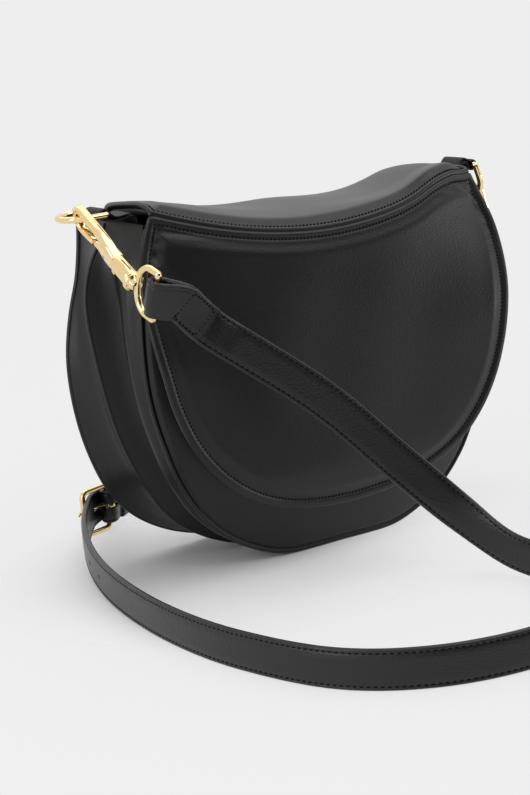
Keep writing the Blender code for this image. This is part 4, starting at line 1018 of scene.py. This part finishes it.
def makeTabs():
    # A strip comes up inside the bellows, runs out over its edge, round the ring's bar and back onto itself
    thick, gap, barX = fitting["tabThick"], body["gap"], fitting["barX"]
    wrap = fitting["ringWire"] + gap + thick / 2
    layer = thick + gap * 1.5
    top = midShares[0][1] * body["height"]
    inside = midShares[0][0] * body["midHalfWidth"] - body["flange"] - body["gussetThick"]
    inside -= body["liningThick"] + 3 * gap + thick / 2 + fitting["tabRoom"]
    over = top + gap + thick / 2
    for label, (sign, barZ, tilt) in ringBars.items():
        line = [(inside, top - fitting["tabDown"]), (inside, top - thick), (inside + thick * 1.5, over),
                (barX - wrap * 2, over + thick / 4)]
        line += [(barX + wrap * c, barZ + wrap * s)
                 for c, s in zip(*circle(np.arange(-90 if barZ > over else -150, 121, 30)))]
        line += [(barX - wrap * 2.4, over + layer * 1.4), (flap["topHalfWidth"] + thick, over + layer)]
        flat = curveThrough(line, 150)
        path = stacked(sign * flat[:, 0], fitting["tabY"], flat[:, 1])
        free = climb(flat[:, :1], *fitting["tabFree"])
        path = settled(path) * (1 - free) + path * free
        shell = forged(path, (0, 1, 0), thick / 2, fitting["tabWidth"] / 2, square=7.0, sides=36)
        # The tabs' leather is drawn darker than the body's as painted shade
        fit(f"tab_{label}_leather", [shell], "bag", f"ring_tab_{label}", shadedTabLeather)


def knobAt(x, z, radius, half, corner=0.0004):
    shell = lathed(((0.0, -half), (radius, -half), (radius, half), (0.0, half)), corner, 32)
    return facingFront(x, 0.0, z, shell)


def makeHooks():
    # All in the hook's own frame: X in its plane, Y across it, Z from the swivel up to the claw
    f = fitting
    r, barrel, long_, pivot = f["clawRadius"], f["barrelRadius"], f["barrelLength"], f["gatePivot"]
    across = (0.0, 1.0, 0.0)
    claw = [(0.0, long_ * 0.6), (r * 0.3, long_), (r * 0.8, pivot), (r * 1.05, f["cheekTop"] * 1.15)]
    claw += [(f["clawOffset"] + r * c, f["clawCentre"] + r * s)
             for c, s in zip(*circle(np.arange(0, 181, 20)))]
    claw += [(f["clawOffset"] - r * 0.98, (f["clawCentre"] + f["noseAt"]) / 2),
             (f["clawOffset"] - r * 0.88, f["noseAt"])]
    line = curveThrough([(x, 0.0, z) for x, z in claw], 200)
    s = np.linspace(0.0, 1.0, len(line))
    inPlane, crosswise = (np.interp(s, (0, 0.2, 0.4, 0.75, 1), sizes) for sizes in (
        (0.0026, 0.0021, 0.0019, 0.0019, 0.0014), (0.0027, 0.0026, 0.0022, 0.0021, 0.0016)))
    casting = [forged(line, across, inPlane, crosswise, 3.6, roundEnds=0.0008),
               lathed(((0.0, 0.0003), (barrel, 0.0003), (barrel, long_ * 0.93), (barrel * 0.8, long_ * 1.08),
                       (0.0, long_ * 1.08)), 0.0005)]
    for y in (-0.0023, 0.0023):
        plate = curveThrough([(0.0, y, long_ * 0.9), (0.0002, y, 0.019), (0.0012, y, 0.0235),
                              (0.003, y, f["cheekTop"])], 40)
        width = np.interp(np.linspace(0, 1, len(plate)), (0, 0.5, 1), (0.0039, 0.0038, 0.0024))
        casting.append(forged(plate, across, width, 0.0008, 5.0, roundEnds=0.001))
    eye = -barrel * 0.3
    tip = f["clawOffset"] - r * 0.88
    bar = curveThrough([(eye - 0.0005, 0.0, pivot), (tip * 0.92, 0.0, (pivot + f["gateTip"]) / 2),
                        (tip, 0.0, f["gateTip"])], 50)
    lever = curveThrough([(eye - 0.0005, 0.0, pivot), (-barrel * 1.15, 0.0, 0.0178),
                          (-barrel * 1.45, 0.0, long_ * 1.1)], 30)
    gate = [forged(bar, across, 0.0011, 0.0012, 3.0, roundEnds=0.0008),
            forged(lever, across, 0.0009, 0.0011, 3.0), knobAt(eye, pivot, 0.00195, 0.0013),
            knobAt(-barrel * 1.5, long_ * 1.06, 0.0015, 0.0022, 0.0009)]
    collar = lathed(((0.0, -0.0054), (0.0026, -0.0054), (0.0034, -0.003), (0.0047, -0.0026), (0.005, -0.0021),
                     (0.0046, -0.0017), (0.0046, -0.0014), (0.005, -0.001), (0.0048, -0.0003),
                     (0.0015, -0.0003), (0.0015, 0.009), (0.0, 0.009)), 0.0002)
    half = strap["width"] / 2 + f["loopRoom"] + strap["wire"]
    c, s = circle(np.linspace(0, 180, 90)[:, None])
    for label, (origin, thin, along) in hookPlaces.items():
        place = placeAt(origin, np.cross(thin, along), thin, along)
        fit(f"hook_{label}_casting", [movedTo(place, shell) for shell in casting], f"hook_{label}",
            f"hook_{label}_body")
        fit(f"hook_{label}_lever", [movedTo(place, shell) for shell in gate], f"gate_{label}",
            f"hook_{label}_gate")
        middle, barWay = (np.array(v) for v in hookBars[label])
        way = unit(middle - np.array(origin))
        arc = middle - way * f["loopSide"] + barWay * half * c - way * (f["loopHeight"] - f["loopSide"]) * s
        line = np.vstack([middle + barWay * half, arc, middle - barWay * half])
        loop = forged(worn(resample(line, 220, closed=True), 4), np.cross(way, barWay), strap["wire"],
                      strap["wire"], closed=True)
        fit(f"hook_{label}_loop", [movedTo(place, collar), loop], f"swivel_{label}", f"hook_{label}_swivel")


def roundedLoop(low, high, corner):
    # A flat rectangle from low to high, each corner a quarter circle
    middle, half = (np.array(low) + high) / 2, (np.array(high) - low) / 2 - corner
    line = []
    for k, sides in enumerate(((1, 1), (-1, 1), (-1, -1), (1, -1))):
        arc = stacked(*circle(np.linspace(0, 90, 14) + 90 * k))
        line.append(middle + half * sides + corner * arc)
    return resample(np.vstack(line), 240, closed=True)


def makeBuckle():
    wire, length, prong = strap["buckleWire"], strap["buckleLength"], fitting["prongWire"]
    half = strap["width"] / 2 + fitting["buckleRoom"] + wire
    outerBar = overBar / 2 + strap["thick"] / 2 + fitting["buckleRise"] + wire
    flat = roundedLoop((-length, -half), (0.0, half), fitting["buckleCorner"])
    line = np.array([buckleSpot(run, -run / length * outerBar, up) for run, up in flat])
    across = np.cross(line[60] - line[0], line[120] - line[0])
    fit("buckle_casting", [forged(line, across, wire, wire, 2.6, closed=True)], "buckle", "buckle_frame")
    over = outerBar + wire + body["gap"] + prong
    wrap = wire + body["gap"] + prong
    line = [buckleSpot(wrap * c, wrap * s) for c, s in zip(*circle(np.arange(-150, 91, 40)))]
    line += [buckleSpot(-length * 0.3, overBar), buckleSpot(-length * 0.6, over), buckleSpot(-length, over),
             buckleSpot(-length - 2 * wire, over - prong)]
    line = curveThrough(line, 140)
    thin = np.interp(np.linspace(0, 1, len(line)), (0, 0.6, 1), (1.0, 1.0, 0.7)) * prong
    fit("prong_casting", [forged(line, (0, 0, 1), thin, thin * 1.2, 2.4, roundEnds=0.0007)], "prong",
        "buckle_prong")


def makeKeepers():
    thick, gap = fitting["keeperThick"], body["gap"]
    low = foldRadius - 1.5 * strap["thick"] - 2 * gap - thick / 2
    high = overBar + strap["thick"] / 2 + gap + thick / 2
    side = strap["width"] / 2 + gap + thick / 2
    flat = roundedLoop((low, -side), (high, side), fitting["keeperCorner"])
    for name, run, bodyName in (("fixed", 0.0165, "bag"), ("sliding", 0.036, "slider")):
        line = np.array([buckleSpot(run, out, up) for out, up in flat])
        shell = forged(line, heading, thick / 2, fitting["keeperWidth"] / 2, 6.0, closed=True, sides=36)
        fit(f"keeper_{name}_leather", [shell], bodyName, f"keeper_{name}", grainedLeather)


def makeSnap():
    z, wide = fitting["snapZ"], fitting["snapRadius"]
    cup = lathed(((0.0, 0.0003), (wide, 0.0003), (wide, 0.0029), (0.0082, 0.0029), (0.0082, 0.0011),
                  (0.0, 0.0011)))
    fit("snap_cup", [facingFront(0.0, fitting["socketY"], z, cup)], "bag", "snap_socket")
    stud = lathed(((0.0, -0.003532), (0.0034, -0.003532), (0.0034, -0.0011), (wide, -0.0011),
                   (wide, -0.0003), (0.0, -0.0003)))
    fit("snap_button", [facingFront(0.0, fitting["studY"], z, stud)], "flap", "snap_stud")


makeRings()
makeTabs()
makeHooks()
makeBuckle()
makeKeepers()
makeSnap()
# Hidden steel and magnet parts keep their solids
finishes = dict(gold_metal=goldPlate, nickel_steel=nickelPlate, ferrite=ferrite)
for name, obj in frame["nodes"].items():
    if not obj.hide_render:
        record = next(part for part in frame["record"]["subparts"] if part["node"] == name)
        obj.data.materials.clear()
        obj.data.materials.append(finishes[record["material_slot"]])
print("fittings made")


# Floor, light and camera

view = dict(azimuth=-30.59, elevation=12.71, roll=-5.46, distance=0.999, target=(-0.0245, -0.008, 0.0759),
            lens=90.57, sensor=36.0, floor="#ebebeb", backdrop="#eeeeee", fill=0.56, floorHalf=3.0,
            shadowAt=(-0.07, -0.02, 0.0), nearFade=(0.03, 0.13, 0.8), farFade=(0.25, 0.8, 1.0),
            skyAngle=math.radians(60.0))


def mattPaper(name):
    # Matt white paper, which runs out into the backdrop so that no edge shows
    made, tree, shader, where = startMaterial(name)
    feed(tree, shader, {"Base Color": linear(view["floor"]), "Roughness": 0.9, "Specular IOR Level": 0.0})
    distance = addNode(tree, "ShaderNodeVectorMath", {0: where, 1: view["shadowAt"]}, operation="DISTANCE")
    fades = [addNode(tree, "ShaderNodeMapRange", {"Value": distance.outputs["Value"], "From Min": start,
                                                  "From Max": end, "To Max": most},
                     interpolation_type="SMOOTHSTEP").outputs["Result"]
             for start, end, most in (view["nearFade"], view["farFade"])]
    clear = addNode(tree, "ShaderNodeBsdfTransparent")
    mixed = addNode(tree, "ShaderNodeMixShader", {0: combined(tree, "MAXIMUM", *fades),
                                                  1: shader.outputs["BSDF"], 2: clear.outputs["BSDF"]})
    feed(tree, tree.nodes["Material Output"], {"Surface": mixed.outputs["Shader"]})
    return made


def flatSheet(name, halfWide, halfHigh, material):
    mesh = bpy.data.meshes.new(name)
    corners = [(x * halfWide, y * halfHigh, 0) for x, y in ((-1, -1), (1, -1), (1, 1), (-1, 1))]
    mesh.from_pydata(corners, [], [(0, 1, 2, 3)])
    mesh.materials.append(material)
    obj = addObject(name, mesh)
    return obj


def makeWorld():
    # The camera and mirrors see the backdrop, and the rest gets a weaker even light
    world = bpy.data.worlds.new("studio")
    bpy.context.scene.world = world
    world.use_nodes = True
    tree = world.node_tree
    path = addNode(tree, "ShaderNodeLightPath").outputs
    seen = addNode(tree, "ShaderNodeBackground", {"Color": linear(view["backdrop"]), "Strength": 1.0})
    lit = addNode(tree, "ShaderNodeBackground", {"Color": linear("#ffffff"), "Strength": view["fill"]})
    direct = combined(tree, "MAXIMUM", path["Is Camera Ray"], path["Is Glossy Ray"])
    direct = combined(tree, "MAXIMUM", direct, path["Is Transmission Ray"])
    mixed = addNode(tree, "ShaderNodeMixShader", {0: direct, 1: lit.outputs[0], 2: seen.outputs[0]})
    feed(tree, tree.nodes["World Output"], {"Surface": mixed.outputs[0]})


def aim(obj, place, target):
    obj.location = place
    obj.rotation_euler = (Vector(target) - Vector(place)).to_track_quat("-Z", "Y").to_euler()


def blackCard(name, place, target, size):
    # A black card off camera, which only shows in reflections
    made, tree, shader, where = startMaterial("black card")
    feed(tree, shader, {"Base Color": linear("#040404"), "Specular IOR Level": 0.0})
    obj = flatSheet(name, size[0] / 2, size[1] / 2, made)
    aim(obj, place, target)
    for way in ("visible_camera", "visible_diffuse", "visible_shadow", "visible_transmission"):
        setattr(obj, way, False)


def addLamp(name, kind, place, target, power, **settings):
    lamp = bpy.data.lights.new(name, kind)
    lamp.energy = power
    for key, value in settings.items():
        setattr(lamp, key, value)
    aim(addObject(name, lamp), place, target)


def makeCamera():
    turns = (circle(view[key]) for key in ("azimuth", "elevation", "roll"))
    (aside, turned), (flat, up), (even, tilt) = turns
    back = Vector((turned * flat, -aside * flat, up))
    level = Vector((aside, turned, 0.0))
    right = level * even + back.cross(level) * tilt
    camera = bpy.data.cameras.new("camera")
    camera.lens = view["lens"]
    camera.sensor_width = view["sensor"]
    obj = addObject("camera", camera)
    position = Vector(view["target"]) + back * view["distance"]
    obj.matrix_world = placeAt(position, right, back.cross(right), back)
    bpy.context.scene.camera = obj


flatSheet("floor", view["floorHalf"], view["floorHalf"], mattPaper("matt white paper"))
makeWorld()
addLamp("front sky", "SUN", (0.35, -0.5, 1.0), (0, 0, 0), 1.15, angle=view["skyAngle"])
addLamp("back sky", "SUN", (0.25, 0.6, 0.9), (0, 0, 0), 0.5, angle=view["skyAngle"])
addLamp("left strip", "AREA", (-1.2, -0.25, 0.5), (-0.08, 0, 0.08), 4.0, shape="RECTANGLE", size=0.14,
        size_y=0.8)
addLamp("right strip", "AREA", (1.1, -0.6, 0.02), (0.08, 0, 0.02), 1.3, shape="RECTANGLE", size=0.3,
        size_y=0.12)
blackCard("front card", (0.15, -1.5, 0.35), (0.0, 0.0, 0.1), (2.6, 1.1))
blackCard("top card", (0.3, 0.05, 1.2), (0.02, -0.05, 0.15), (0.35, 0.3))
makeCamera()
bpy.context.scene.view_settings.view_transform = "Standard"
print("stage made")
